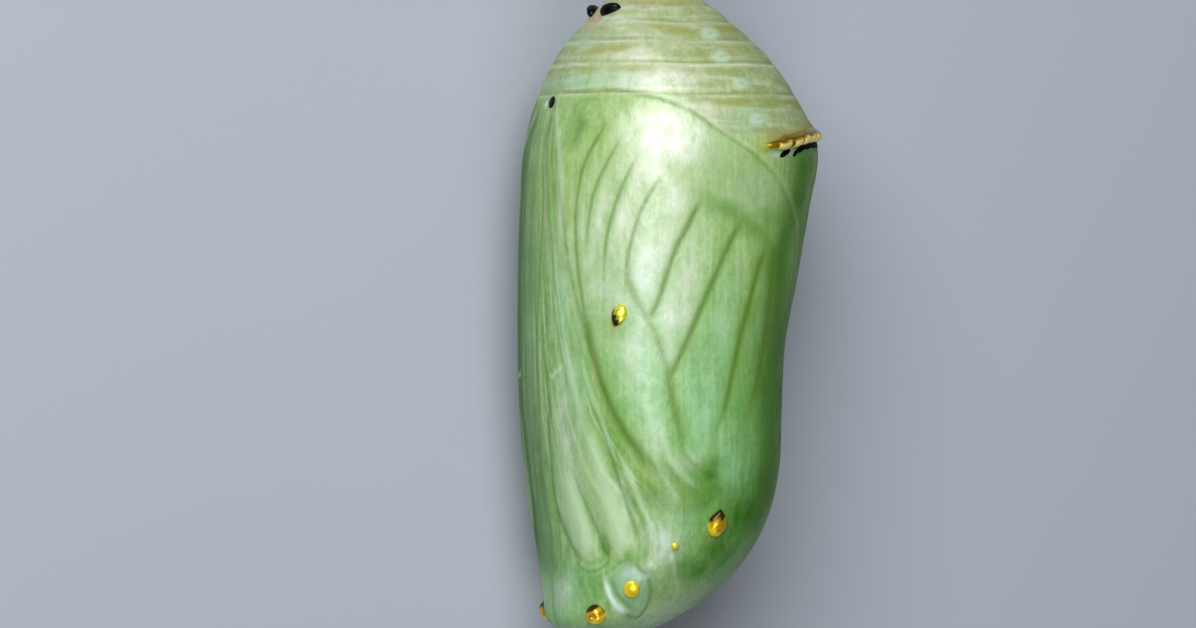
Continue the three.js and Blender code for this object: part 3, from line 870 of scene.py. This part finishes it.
def addNode(tree, kind, values=None, links=None, output=0, **settings):
    # a link comes from a socket, or from the mark that it names
    node = tree.nodes.new(kind)
    for name, value in settings.items():
        setattr(node, name, value)
    for socket, value in (values or {}).items():
        node.inputs[socket].default_value = value
    for socket, source in (links or {}).items():
        if isinstance(source, str):
            source = addNode(tree, "ShaderNodeAttribute", output="Fac", attribute_name=source)
        tree.links.new(source, node.inputs[socket])
    return node.outputs[output]


def startMaterial(name, finish):
    # sets its constants and makes its patterns, which are noise
    material = bpy.data.materials.new(name)
    material.use_nodes = True
    tree = material.node_tree
    for socket, value in finish["surface"].items():
        tree.nodes["Principled BSDF"].inputs[socket].default_value = value
    place = addNode(tree, "ShaderNodeTexCoord", output="Object")
    patterns = {"place": place}
    for pattern, (sizes, detail, roughness) in finish["patterns"].items():
        scale = {"Scale": [1 / (size * mm) for size in sizes]}
        scaled = addNode(tree, "ShaderNodeMapping", scale, {"Vector": place})
        values = {"Scale": 1.0, "Detail": detail, "Roughness": roughness}
        patterns[pattern] = addNode(tree, "ShaderNodeTexNoise", values, {"Vector": scaled})
    return material, tree, patterns


def layColours(tree, finish, patterns, colour):
    # colours laid over one another, each by a share read from a mark or a pattern
    breaks = []
    for names, pattern, low, high, weak, strong in finish.get("breaks", ()):
        values = {1: low, 2: high, 3: weak, 4: strong}
        breaks.append((names, addNode(tree, "ShaderNodeMapRange", values, {0: patterns[pattern]})))
    for source, shade, level, *rest in finish["layers"]:
        low, high, *masks = rest or (0, 1)
        masks += [mask for names, mask in breaks if source in names]
        share = addNode(tree, "ShaderNodeMapRange", {1: low, 2: high, 4: level},
                        {0: patterns.get(source, source)})
        for mask in masks:
            share = addNode(tree, "ShaderNodeMath", links={0: share, 1: mask}, operation="MULTIPLY")
        colour = addNode(tree, "ShaderNodeMix", {7: hexColour(shade)}, {0: share, 6: colour}, 2,
                         data_type="RGBA")
    return colour


def finishMaterial(tree, finish, patterns, colour=None):
    # colour, roughness and fine relief
    surface = tree.nodes["Principled BSDF"]
    if colour is None:
        colour = addNode(tree, "ShaderNodeRGB")
        colour.default_value = hexColour(finish["base"])
    tree.links.new(layColours(tree, finish, patterns, colour), surface.inputs["Base Color"])
    pattern, smooth, rough = finish["roughness"]
    roughness = addNode(tree, "ShaderNodeMapRange", {1: 0.3, 2: 0.7, 3: smooth, 4: rough},
                        {0: patterns[pattern]})
    if "dull" in finish:
        roughness = addNode(tree, "ShaderNodeMath", {1: finish["dull"]}, {0: "dull", 2: roughness},
                            operation="MULTIPLY_ADD")
    tree.links.new(roughness, surface.inputs["Roughness"])
    normal = {}
    for pattern, strength, depth in finish["relief"]:
        values = {"Strength": strength, "Distance": depth * mm}
        normal["Normal"] = addNode(tree, "ShaderNodeBump", values,
                                   {"Height": patterns[pattern], **normal})
    for socket, source in normal.items():
        tree.links.new(source, surface.inputs[socket])
    return surface


skinFinish = dict(
    surface={
        "IOR": 1.5,
        "Specular IOR Level": 0.86,
        "Subsurface Weight": 0.25,
        "Subsurface Radius": (0.7, 1.0, 0.35),
        "Subsurface Scale": 0.7 * mm,
    },
    # colour down the body: along
    ramp=[
        (0.5, "8DBE7C"), (3.5, "7DB264"), (7.5, "7FB56B"), (12.0, "93C07C"), (16.5, "A0C375"),
        (19.5, "A5C377"), (23.5, "A9B878"),
    ],
    limbLines=17,  # across the strip between the wings
    limbDrift=0.12,  # how much they change in a mm
    # sizes in mm along X, Y and Z, detail, roughness
    patterns=dict(
        blotches=((2.6, 4.68, 2.6), 4, 0.5),
        smallBlotches=((1.7, 3.06, 1.7), 4, 0.5),
        fibres=((0.16, 4.5, 0.16), 2, 0.5),  # along the wings and legs
        rings=((2.2, 0.22, 2.2), 5, 0.6),  # across the abdomen
        patches=((1.3, 0.7, 1.3), 3, 0.5),
        flecks=((0.16, 0.24, 0.16), 3, 0.6),
        dapple=((0.5, 0.9, 0.5), 4, 0.6),
    ),
    # marks that a pattern breaks up: its range, and the strengths that this gives
    breaks=[
        (("band", "ringGroove", "ringLip", "green", "olive", "wingRim"), "patches",
         0.42, 0.56, 0.35, 1.1),
        (("deep", "mint", "pale", "crumple", "crease", "lilac"), "dapple", 0.35, 0.62, 1.15, 0.55),
    ],
    # mark or pattern, colour, strength, and for a pattern its range and the mark that holds it
    layers=[
        ("blotches", "78A94E", 0.45, 0.45, 0.75),
        ("smallBlotches", "A6CD8E", 0.5, 0.45, 0.75),
        ("limb", "8AAE56", 0.6),
        ("abdomen", "AEB98C", 0.8),
        ("fibres", "C8DFB4", 0.28, 0.5, 0.7),
        ("fibres", "5E9440", 0.2, 0.5, 0.3),
        ("limbLines", "628E38", 0.6, 0.52, 0.34, "limb"),
        ("limbLines", "C4DEB4", 0.65, 0.5, 0.68, "limb"),
        ("rings", "8E9C58", 0.45, 0.5, 0.66, "abdomen"),
        ("rings", "DFE6CE", 0.4, 0.48, 0.34, "abdomen"),
        ("dapple", "4F8A2E", 0.22, 0.5, 0.72),
        ("dapple", "C9E2B2", 0.22, 0.5, 0.28),
        ("flecks", "4F8A2E", 0.22, 0.5, 0.72),
        ("flecks", "C9E2B2", 0.22, 0.5, 0.28),
        # partly a painted highlight
        ("pale", "E8ECE2", 0.95),
        ("mint", "ABD9B8", 0.65),
        ("halo", "86B05C", 0.3),
        ("olive", "A3B45C", 0.7),
        ("green", "5E9A3C", 0.65),
        ("grey", "A9BFA2", 0.7),
        ("crumple", "6F8F38", 0.75),
        ("crease", "66883A", 0.6),
        # the next three lay painted shade along the outline's edges; the first also holds darker green skin
        ("deep", "3A7A04", 0.97),
        ("lowerSideShade", "346A0A", 0.85),
        ("flankShade", "4A7E08", 0.8),
        ("margin", "659638", 0.55),
        ("vein", "62862A", 0.78),
        ("seam", "4A7A2A", 0.62),
        ("wingRim", "5F7F40", 0.42),
        ("rimHighlight", "DCE8C2", 0.2),
        ("smudge", "55863A", 0.55),
        ("lobe", "C3DAAE", 0.55),
        ("strip", "CFE8C8", 0.6),
        ("band", "9BA046", 0.8),
        ("ringGroove", "7F9450", 0.5),
        ("ringLip", "E4EED2", 0.6),
        ("slitHalo", "CFE6D2", 0.65),
        ("slit", "8FAA8C", 0.5),
        ("tan", "C39C76", 0.6),
        ("scar", "CFA58C", 0.75),
        ("eye", "9FC6A0", 0.5),
        ("eyeEdge", "4A7A34", 0.5),
        ("sickle", "E6F8F0", 1.0),
        ("lilac", "C6D4DC", 0.8),
        ("dotHighlight", "F0F6EE", 0.8),
        ("ochre", "A3A12C", 0.7),
        ("amber", "A09040", 0.7),
        ("ridgeShade", "4E8A2E", 0.6),
        ("paleLine", "D4E6C2", 0.6),
    ],
    roughness=("dapple", 0.3, 0.38),
    dull=0.28,  # how much rougher the wax is where it is dull
    # pattern, strength, depth in mm
    relief=[("fibres", 0.25, 0.015), ("dapple", 0.5, 0.06), ("flecks", 0.5, 0.018)],
)


def cuticle():
    # waxy chitin skin of a pupa, moulted wet and set: green from within, with a soft wide shine
    material, tree, patterns = startMaterial("waxy_green_chitin", skinFinish)
    height = addNode(tree, "ShaderNodeSeparateXYZ", links={0: patterns["place"]}, output="Y")
    down = addNode(tree, "ShaderNodeMapRange", {1: headTip * mm, 2: -headTip * mm}, {0: height})
    colour = addNode(tree, "ShaderNodeValToRGB", links={0: down})
    stops = colour.node.color_ramp.elements
    for k, (along, shade) in enumerate(skinFinish["ramp"]):
        stop = stops[k] if k < 2 else stops.new(1)
        stop.position = along / (-2 * headTip)
        stop.color = hexColour(shade)
    # lines along the limbs
    axes = []
    for source, scale in (("flow", skinFinish["limbLines"]), (height, skinFinish["limbDrift"] / mm)):
        axes.append(addNode(tree, "ShaderNodeMath", {1: scale}, {0: source}, operation="MULTIPLY"))
    fan = addNode(tree, "ShaderNodeCombineXYZ", links={0: axes[0], 1: axes[1]})
    values = {"Scale": 1.0, "Detail": 3.0, "Roughness": 0.6}
    patterns["limbLines"] = addNode(tree, "ShaderNodeTexNoise", values, {"Vector": fan})
    finishMaterial(tree, skinFinish, patterns, colour)
    return material


goldFinish = dict(
    surface={},
    base="DDB02C",
    patterns=dict(waves=((0.2, 0.2, 0.2), 3, 0.5)),
    layers=[
        ("waves", "F0D044", 0.5, 0.4, 0.65),
        ("skirt", "927A26", 0.85),
        # bright and cream are partly a painted highlight, and the dark layer is partly painted shade
        ("bright", "FFE63C", 1),
        ("creamAndGlint", "FFF0AC", 0.65),
        ("moss", "C4E060", 0.55),
        ("brownAndShade", "2A1E08", 0.93),
    ],
    # how metallic it is without and with a mark
    metallic=dict(bright=(0.5, 0.3), creamAndGlint=(1, 0.5)),
    roughness=("waves", 0.16, 0.3),
    relief=[("waves", 0.3, 0.02)],
)


def gilding():
    # layered cuticle that mirrors like gold leaf, brown where it meets the skin and where layers
    # are missing, with painted shade and painted highlights on the sides of some studs and a painted
    # glint on the ridge's lobes
    material, tree, patterns = startMaterial("golden_cuticle", goldFinish)
    surface = finishMaterial(tree, goldFinish, patterns)
    shares = [addNode(tree, "ShaderNodeMapRange", {3: without, 4: fully}, {0: name})
              for name, (without, fully) in goldFinish["metallic"].items()]
    metal = addNode(tree, "ShaderNodeMath", links=dict(enumerate(shares)), operation="MULTIPLY")
    tree.links.new(metal, surface.inputs["Metallic"])
    return material


sootFinish = dict(
    surface={"Specular IOR Level": 0.15},
    base="050404",
    patterns=dict(grains=((0.12, 0.12, 0.12), 3, 0.5)),
    layers=[("grains", "1E1A12", 0.5, 0.55, 0.75)],
    roughness=("grains", 0.55, 0.75),
    relief=[],
)


def soot():
    # black pigment just under the wax, matt beside the glossy knobs
    material, tree, patterns = startMaterial("black_pigment", sootFinish)
    finishMaterial(tree, sootFinish, patterns)
    return material


chitinFinish = dict(
    surface={"Specular IOR Level": 0.3},
    base="060505",
    patterns=dict(pits=((0.15, 0.3, 0.15), 3, 0.5)),
    layers=[("pits", "1C1410", 0.5, 0.5, 0.75)],
    roughness=("pits", 0.25, 0.45),
    relief=[("pits", 0.3, 0.02)],
)


def blackChitin():
    # hard tanned chitin, nearly black and glossy, as on an insect's claws
    material, tree, patterns = startMaterial("tanned_black_chitin", chitinFinish)
    finishMaterial(tree, chitinFinish, patterns)
    return material


def addDome(stud):
    # a rounded stud, X towards the tail and Z outward; a point draws in one end of it
    clearSelection()
    bpy.ops.mesh.primitive_ico_sphere_add(subdivisions=dome["subdivisions"], radius=mm)
    bpy.ops.object.mode_set(mode="EDIT")
    bpy.ops.mesh.select_all(action="SELECT")
    bpy.ops.transform.resize(value=stud["size"])
    bpy.ops.object.mode_set(mode="OBJECT")
    piece = bpy.context.object
    size = np.array(stud["size"]) * mm
    places = readPlaces(piece)
    x, y, z = (places / size).T
    point = stud.get("point", 0)
    places[:, 1] *= 1 - abs(point) * np.maximum(x * np.sign(point), 0) ** 2
    dimple = stud.get("dimple", 0) * falloff(np.hypot(x, y), dome["dimpleWidth"])
    places[:, 2] -= dimple * mm * (z > 0)
    places[:, 2] += dome["unevenness"] * size[2] * np.sin(7 * x + 3 * y) * np.sin(5 * y)
    writePlaces(piece, places)
    bpy.ops.object.shade_smooth()
    return piece


def markStud(piece, stud, side):
    # how dark, mossy and bright each part of a stud is, and how close to the skin; where these marks
    # take one side, the dark one is painted shade and the bright one a painted highlight
    x, y, z = (readPlaces(piece) / (np.array(stud["size"]) * mm)).T
    waver = dome["patchWaver"] * np.sin(8 * y + 5 * x)
    marks = {"skirt": 1 - z / dome["skirtHeight"]}
    for name in ("brownAndShade", "moss", "bright"):
        degrees, start = stud.get(name, (0, 9))
        angle = math.radians(degrees * side)
        towards = x * math.cos(angle) + y * math.sin(angle) + waver
        marks[name] = (towards - start) / dome["patchEdge"]
    writeMarks(piece, marks)


def makeStuds(kinds, material):
    # each kind is set on the skin left and right, and kept off the floor
    for name, stud in kinds.items():
        pieces = []
        for side in stud.get("sides", (1, -1)):
            piece = addDome(stud)
            if "bright" in stud:
                markStud(piece, stud, side)
            turn = Matrix.Rotation(math.radians(stud.get("turn", 0) * side), 4, "Z")
            piece.data.transform(skinFrame(stud["place"], side) @ turn)
            places = readPlaces(piece)
            places[:, 2] = np.maximum(places[:, 2], 0)
            writePlaces(piece, places)
            pieces.append(piece)
        finishPiece(joinPieces(pieces), name, material)


def closeSheet(piece, thickness):
    # the sheet gets a thickness that reaches into the skin
    bpy.ops.object.shade_smooth()
    thick = piece.modifiers.new("thickness", "SOLIDIFY")
    thick.thickness = thickness * mm
    thick.offset = -1
    bpy.ops.object.modifier_apply(modifier=thick.name)


def addCrest():
    # across runs over the back from side to side, deep from the head side to the tail side
    piece, across, down = addSheet(*ridge["crestMesh"])
    deep = 2 * down - 1
    start = ridge["start"]
    around = 180 + (2 * across - 1) * (180 - start)
    folded = 180 - np.abs(180 - around)
    lobe = strongest(np.clip(1 - ((folded - place) / width) ** 2, 0, 1) ** 0.5
                     for place, width in ridge["lobes"])
    taper = smoothStep(folded, start - 0.5, start + 3.5)
    slowTaper = smoothStep(folded, start - 0.5, start + 12)
    # the head side is round and lobed, and the tail side runs out flat
    front = ridge["crestFront"] + ridge["lobeDepth"] * lobe
    offset = deep * np.where(deep < 0, front, ridge["crestBack"])
    offset *= 0.3 + 0.7 * np.where(deep < 0, taper, slowTaper)
    rounded = np.where(deep < 0, np.sqrt(np.clip(1 - deep ** 2, 0, 1)), 1 - 0.85 * np.abs(deep) ** 1.4)
    ripple = 0.72 + 0.28 * (lobe + (0.6 - lobe) * smoothStep(deep, 0, 0.4))
    height = (ridge["crestHeight"] * ripple * rounded + 0.02) * (0.25 + 0.75 * taper)
    height -= 0.06 * (np.abs(deep) > 0.97)  # the edges dip into the skin
    arc = arcAt(alongLine(smoothPath(ridge["path"]), folded) + offset)
    writePlaces(piece, onSkin(arc, around, height))

    # bright lobes, their fronts cream and partly a painted glint, with brown between and behind them, and a
    # dull skirt on the tail side
    wave = np.radians(folded)
    back = deep - 0.06 * np.sin(31 * wave) - 0.05 * np.sin(53 * wave)
    shine = smoothStep(lobe, 0.1, 0.5) * smoothStep(back, 0.12, -0.13)
    gaps = smoothStep(lobe, 0.5, 0.1) * smoothStep(deep, 0.2, -0.1) * smoothStep(folded, 115, 118)
    brown = 0.75 * np.maximum(falloff(back - 0.3, 0.16), gaps)
    brownAndShade = np.maximum(brown, 0.4 * smoothStep(folded, 113, 110))
    writeMarks(piece, dict(bright=shine, creamAndGlint=shine, skirt=smoothStep(back, 0.2, 0.45), brownAndShade=brownAndShade))
    closeSheet(piece, ridge["crestThickness"])
    return piece


def addSoot(path, half, taperStart, taperEnd, side):
    # a black mark along a path, a little raised
    piece, share, down = addSheet(*ridge["sootMesh"])
    path = smoothPath(path)
    steps = np.linspace(0, 1, len(path))
    middle, folded = [np.interp(share, steps, path[:, k]) for k in (0, 1)]
    width = half * np.sqrt(np.clip(share / taperStart, 0, 1))
    if taperEnd:
        width *= np.sqrt(np.clip((1 - share) / taperEnd, 0, 1))
    width *= 1 + 0.18 * np.sin(np.radians(folded * 360 / 7))
    deep = 2 * down - 1
    along = middle + deep * width
    tailward = along - alongLine(smoothPath(ridge["path"]), folded)
    height = 0.035 * (1 - deep ** 2) - 0.02 + np.interp(tailward, *ridge["sootClimb"])
    writePlaces(piece, onSkin(arcAt(along), folded * side, height))
    closeSheet(piece, ridge["sootThickness"])
    return piece


def makeRidge(goldMaterial, blackMaterial):
    finishPiece(addCrest(), "gilded_ridge", goldMaterial)
    marks = [addSoot(*mark, side) for side in (1, -1) for mark in ridge["soot"]]
    finishPiece(joinPieces(marks), "ridge_soot", blackMaterial)


# the two knobs below the stalk, and the black dot at the end of the tongue
knobs = dict(
    black_knobs=dict(place=(23.14, 19.5), size=(0.21, 0.45, 0.3), turn=20),
    tongue_dot=dict(place=(19.74, 4.6), size=(0.24, 0.21, 0.06), turn=28, sides=(1,)),
)

stalk = dict(
    # along, half of its depth, half of its width
    profile=[
        (24.2, 0.98, 0.96), (24.42, 0.78, 0.76), (24.62, 0.56, 0.55), (24.9, 0.42, 0.41),
        (25.2, 0.38, 0.38), (25.45, 0.42, 0.41), (25.66, 0.5, 0.48), (25.82, 0.5, 0.48), (25.9, 0.4, 0.4),
    ],
    stepsPerSpan=3,
    centre=(0.03, 0.0),
    insetWidth=0.12,
    insetRise=0.03,
    flutes=9,
    fluteDepth=0.09,
    fluteStart=24.3,
    fluteFade=0.4,
    hooks=44,
    hookLength=0.16,
    hookLengths=(0.8, 1.1),  # their shortest and longest, times that length
    edgeShortening=0.35,
    hookRadii=(0.028, 0.014),
    hookSpread=0.4,  # of their feet from the middle of the stalk's head
    hookSink=0.05,
    hookLean=0.75,  # of the outermost, outward for each mm up
    hookTurn=137.5,  # degrees from one to the next, as seeds stand in a sunflower
    # the tip curls outward and back, and is narrower by this
    curl=((0.03, 0, 0.02), (0.035, 0, -0.012)),
    tipScale=0.4,
)


def addStem(place):
    # a circle drawn out ring by ring, capped and then fluted; place ends up at its head
    clearSelection()
    bpy.ops.mesh.primitive_circle_add(vertices=72, radius=mm, fill_type="NGON", location=place,
                                      rotation=(-math.pi / 2, 0, 0))
    bpy.ops.object.transform_apply(location=True, rotation=True, scale=True)
    piece = bpy.context.object
    bpy.ops.object.mode_set(mode="EDIT")
    bpy.ops.mesh.select_all(action="SELECT")
    _, deep, wide = stalk["profile"][0]
    bpy.ops.transform.resize(value=(deep, 1, wide), center_override=place)
    count = stalk["stepsPerSpan"]
    for before, after in zip(stalk["profile"][:-1], stalk["profile"][1:]):
        step = (after[0] - before[0]) * mm / count
        grow = [(after[k] / before[k]) ** (1 / count) for k in (1, 2)]
        for part in range(count):
            bpy.ops.mesh.extrude_region_move(TRANSFORM_OT_translate={"value": (0, step, 0)})
            place.y += step
            bpy.ops.transform.resize(value=(grow[0], 1, grow[1]), center_override=place)
    bpy.ops.mesh.inset(thickness=stalk["insetWidth"] * mm)
    bpy.ops.transform.translate(value=(0, stalk["insetRise"] * mm, 0))
    bpy.ops.mesh.select_all(action="SELECT")
    bpy.ops.mesh.normals_make_consistent(inside=False)
    bpy.ops.object.mode_set(mode="OBJECT")
    for vertex in piece.data.vertices:
        x, z = vertex.co.x - place.x, vertex.co.z - place.z
        along = vertex.co.y / mm - headTip
        share = min(max((along - stalk["fluteStart"]) / stalk["fluteFade"], 0), 1)
        wave = math.cos(stalk["flutes"] * math.atan2(z, x) + 0.6 * math.sin(3 * along)) - 0.3
        grow = 1 + stalk["fluteDepth"] * share * wave
        vertex.co.x, vertex.co.z = place.x + x * grow, place.z + z * grow
    bpy.ops.object.shade_smooth()
    return piece


def addHook(place, ring, angle, length):
    # a thin cone with a curled tip, leaning outward; ring is 0 at the middle of the head, 1 at its edge
    clearSelection()
    foot, top = stalk["hookRadii"]
    bpy.ops.mesh.primitive_cone_add(vertices=8, radius1=foot * mm, radius2=top * mm, depth=length * mm)
    hook = bpy.context.object
    bpy.ops.object.mode_set(mode="EDIT")
    bpy.ops.mesh.select_all(action="DESELECT")
    bpy.ops.object.mode_set(mode="OBJECT")
    for face in hook.data.polygons:
        face.select = face.center.z > 0.4 * length * mm
    bpy.ops.object.mode_set(mode="EDIT")
    for step in stalk["curl"]:
        bpy.ops.mesh.extrude_region_move(TRANSFORM_OT_translate={"value": [size * mm for size in step]})
    bpy.ops.transform.resize(value=[stalk["tipScale"]] * 3)
    bpy.ops.object.mode_set(mode="OBJECT")
    bpy.ops.object.shade_smooth()
    out = Vector((math.cos(angle), 0, math.sin(angle)))
    lean = (out * stalk["hookLean"] * ring + Vector((0, 1, 0))).normalized()
    sideways = lean.cross(out).normalized() if ring > 0.05 else Vector((0, 0, 1))
    outward = sideways.cross(lean)
    turn = Matrix([[outward[k], sideways[k], lean[k]] for k in range(3)]).to_4x4()
    sink = Vector((0, stalk["hookSink"] * (1 + ring), 0))
    start = Matrix.Translation(place + (out * stalk["hookSpread"] * ring - sink) * mm)
    middle = Matrix.Translation((0, 0, length * mm / 2))
    hook.data.transform(start @ turn @ middle)
    return hook


def makeStalk(material):
    # a short stalk with a head of tiny hooks, which hold on to silk
    x, z = stalk["centre"]
    place = Vector(toRow(np.array([x, stalk["profile"][0][0], z])))
    parts = [addStem(place)]
    rng = random.Random(11)
    for k in range(stalk["hooks"]):
        ring = math.sqrt((k + 0.5) / stalk["hooks"])
        length = stalk["hookLength"] * rng.uniform(*stalk["hookLengths"])
        length *= 1 - stalk["edgeShortening"] * ring
        parts.append(addHook(place, ring, k * math.radians(stalk["hookTurn"]), length))
    finishPiece(joinPieces(parts), "stalk", material)


stage = dict(
    turn=22,  # degrees that the camera leans from straight above towards the belly
    target=(-0.9, -1.07, 5.2),
    across=-1.933,  # of the camera from the target
    distance=250,
    width=44.46,
    floorSize=1200,
    paper=dict(
        surface={"Base Color": hexColour("AEB4BE"), "Roughness": 0.9, "Specular IOR Level": 0.2},
        patterns={},
    ),
    lightAim=(-0.9, 3.0, 5.2),
    # direction (right, up, towards the camera), distance, size, watts
    lights=dict(
        key=((-0.06, 0.45, 0.89), 200, 176, 0.39),
        front=((0.14, -0.55, 0.83), 320, 190, 0.26),
    ),
    world={"Color": hexColour("E6E9E8"), "Strength": 0.04},
)


def setStage():
    clearSelection()
    bpy.ops.mesh.primitive_plane_add(size=stage["floorSize"] * mm)
    floor = bpy.context.object
    floor.name = "floor"
    floor.data.materials.append(startMaterial("matt_paper", stage["paper"])[0])

    c, s = math.cos(math.radians(stage["turn"])), math.sin(math.radians(stage["turn"]))
    right, up, toward = Vector((c, 0, s)), Vector((0, 1, 0)), Vector((-s, 0, c))
    target = Vector(stage["target"]) + right * stage["across"]
    camera = bpy.data.cameras.new("camera")
    camera.lens = camera.sensor_width * stage["distance"] / stage["width"]
    camera.clip_start = 1 * mm
    holder = bpy.data.objects.new("camera", camera)
    bpy.context.collection.objects.link(holder)
    turn = Matrix([[right[k], up[k], toward[k]] for k in range(3)]).to_4x4()
    holder.matrix_world = Matrix.Translation((target + toward * stage["distance"]) * mm) @ turn
    bpy.context.scene.camera = holder

    for name, (aim, distance, size, power) in stage["lights"].items():
        light = bpy.data.lights.new(name, "AREA")
        light.shape = "DISK"
        light.size = size * mm
        light.energy = power
        lamp = bpy.data.objects.new(name, light)
        bpy.context.collection.objects.link(lamp)
        direction = (right * aim[0] + up * aim[1] + toward * aim[2]).normalized()
        place = (Vector(stage["lightAim"]) + direction * distance) * mm
        turn = direction.to_track_quat("Z", "Y").to_matrix().to_4x4()
        lamp.matrix_world = Matrix.Translation(place) @ turn
    world = bpy.data.worlds.new("studio")
    bpy.context.scene.world = world
    world.use_nodes = True
    for socket, value in stage["world"].items():
        world.node_tree.nodes["Background"].inputs[socket].default_value = value
    bpy.context.scene.view_settings.view_transform = "Standard"
    bpy.context.scene.view_settings.look = "Medium High Contrast"
    print("stage set")


setStage()
finishPiece(makeSkin(), "pupal_skin", cuticle())
gold = gilding()
black = blackChitin()
makeStuds(studs, gold)
makeRidge(gold, soot())
makeStuds(knobs, black)
makeStalk(black)
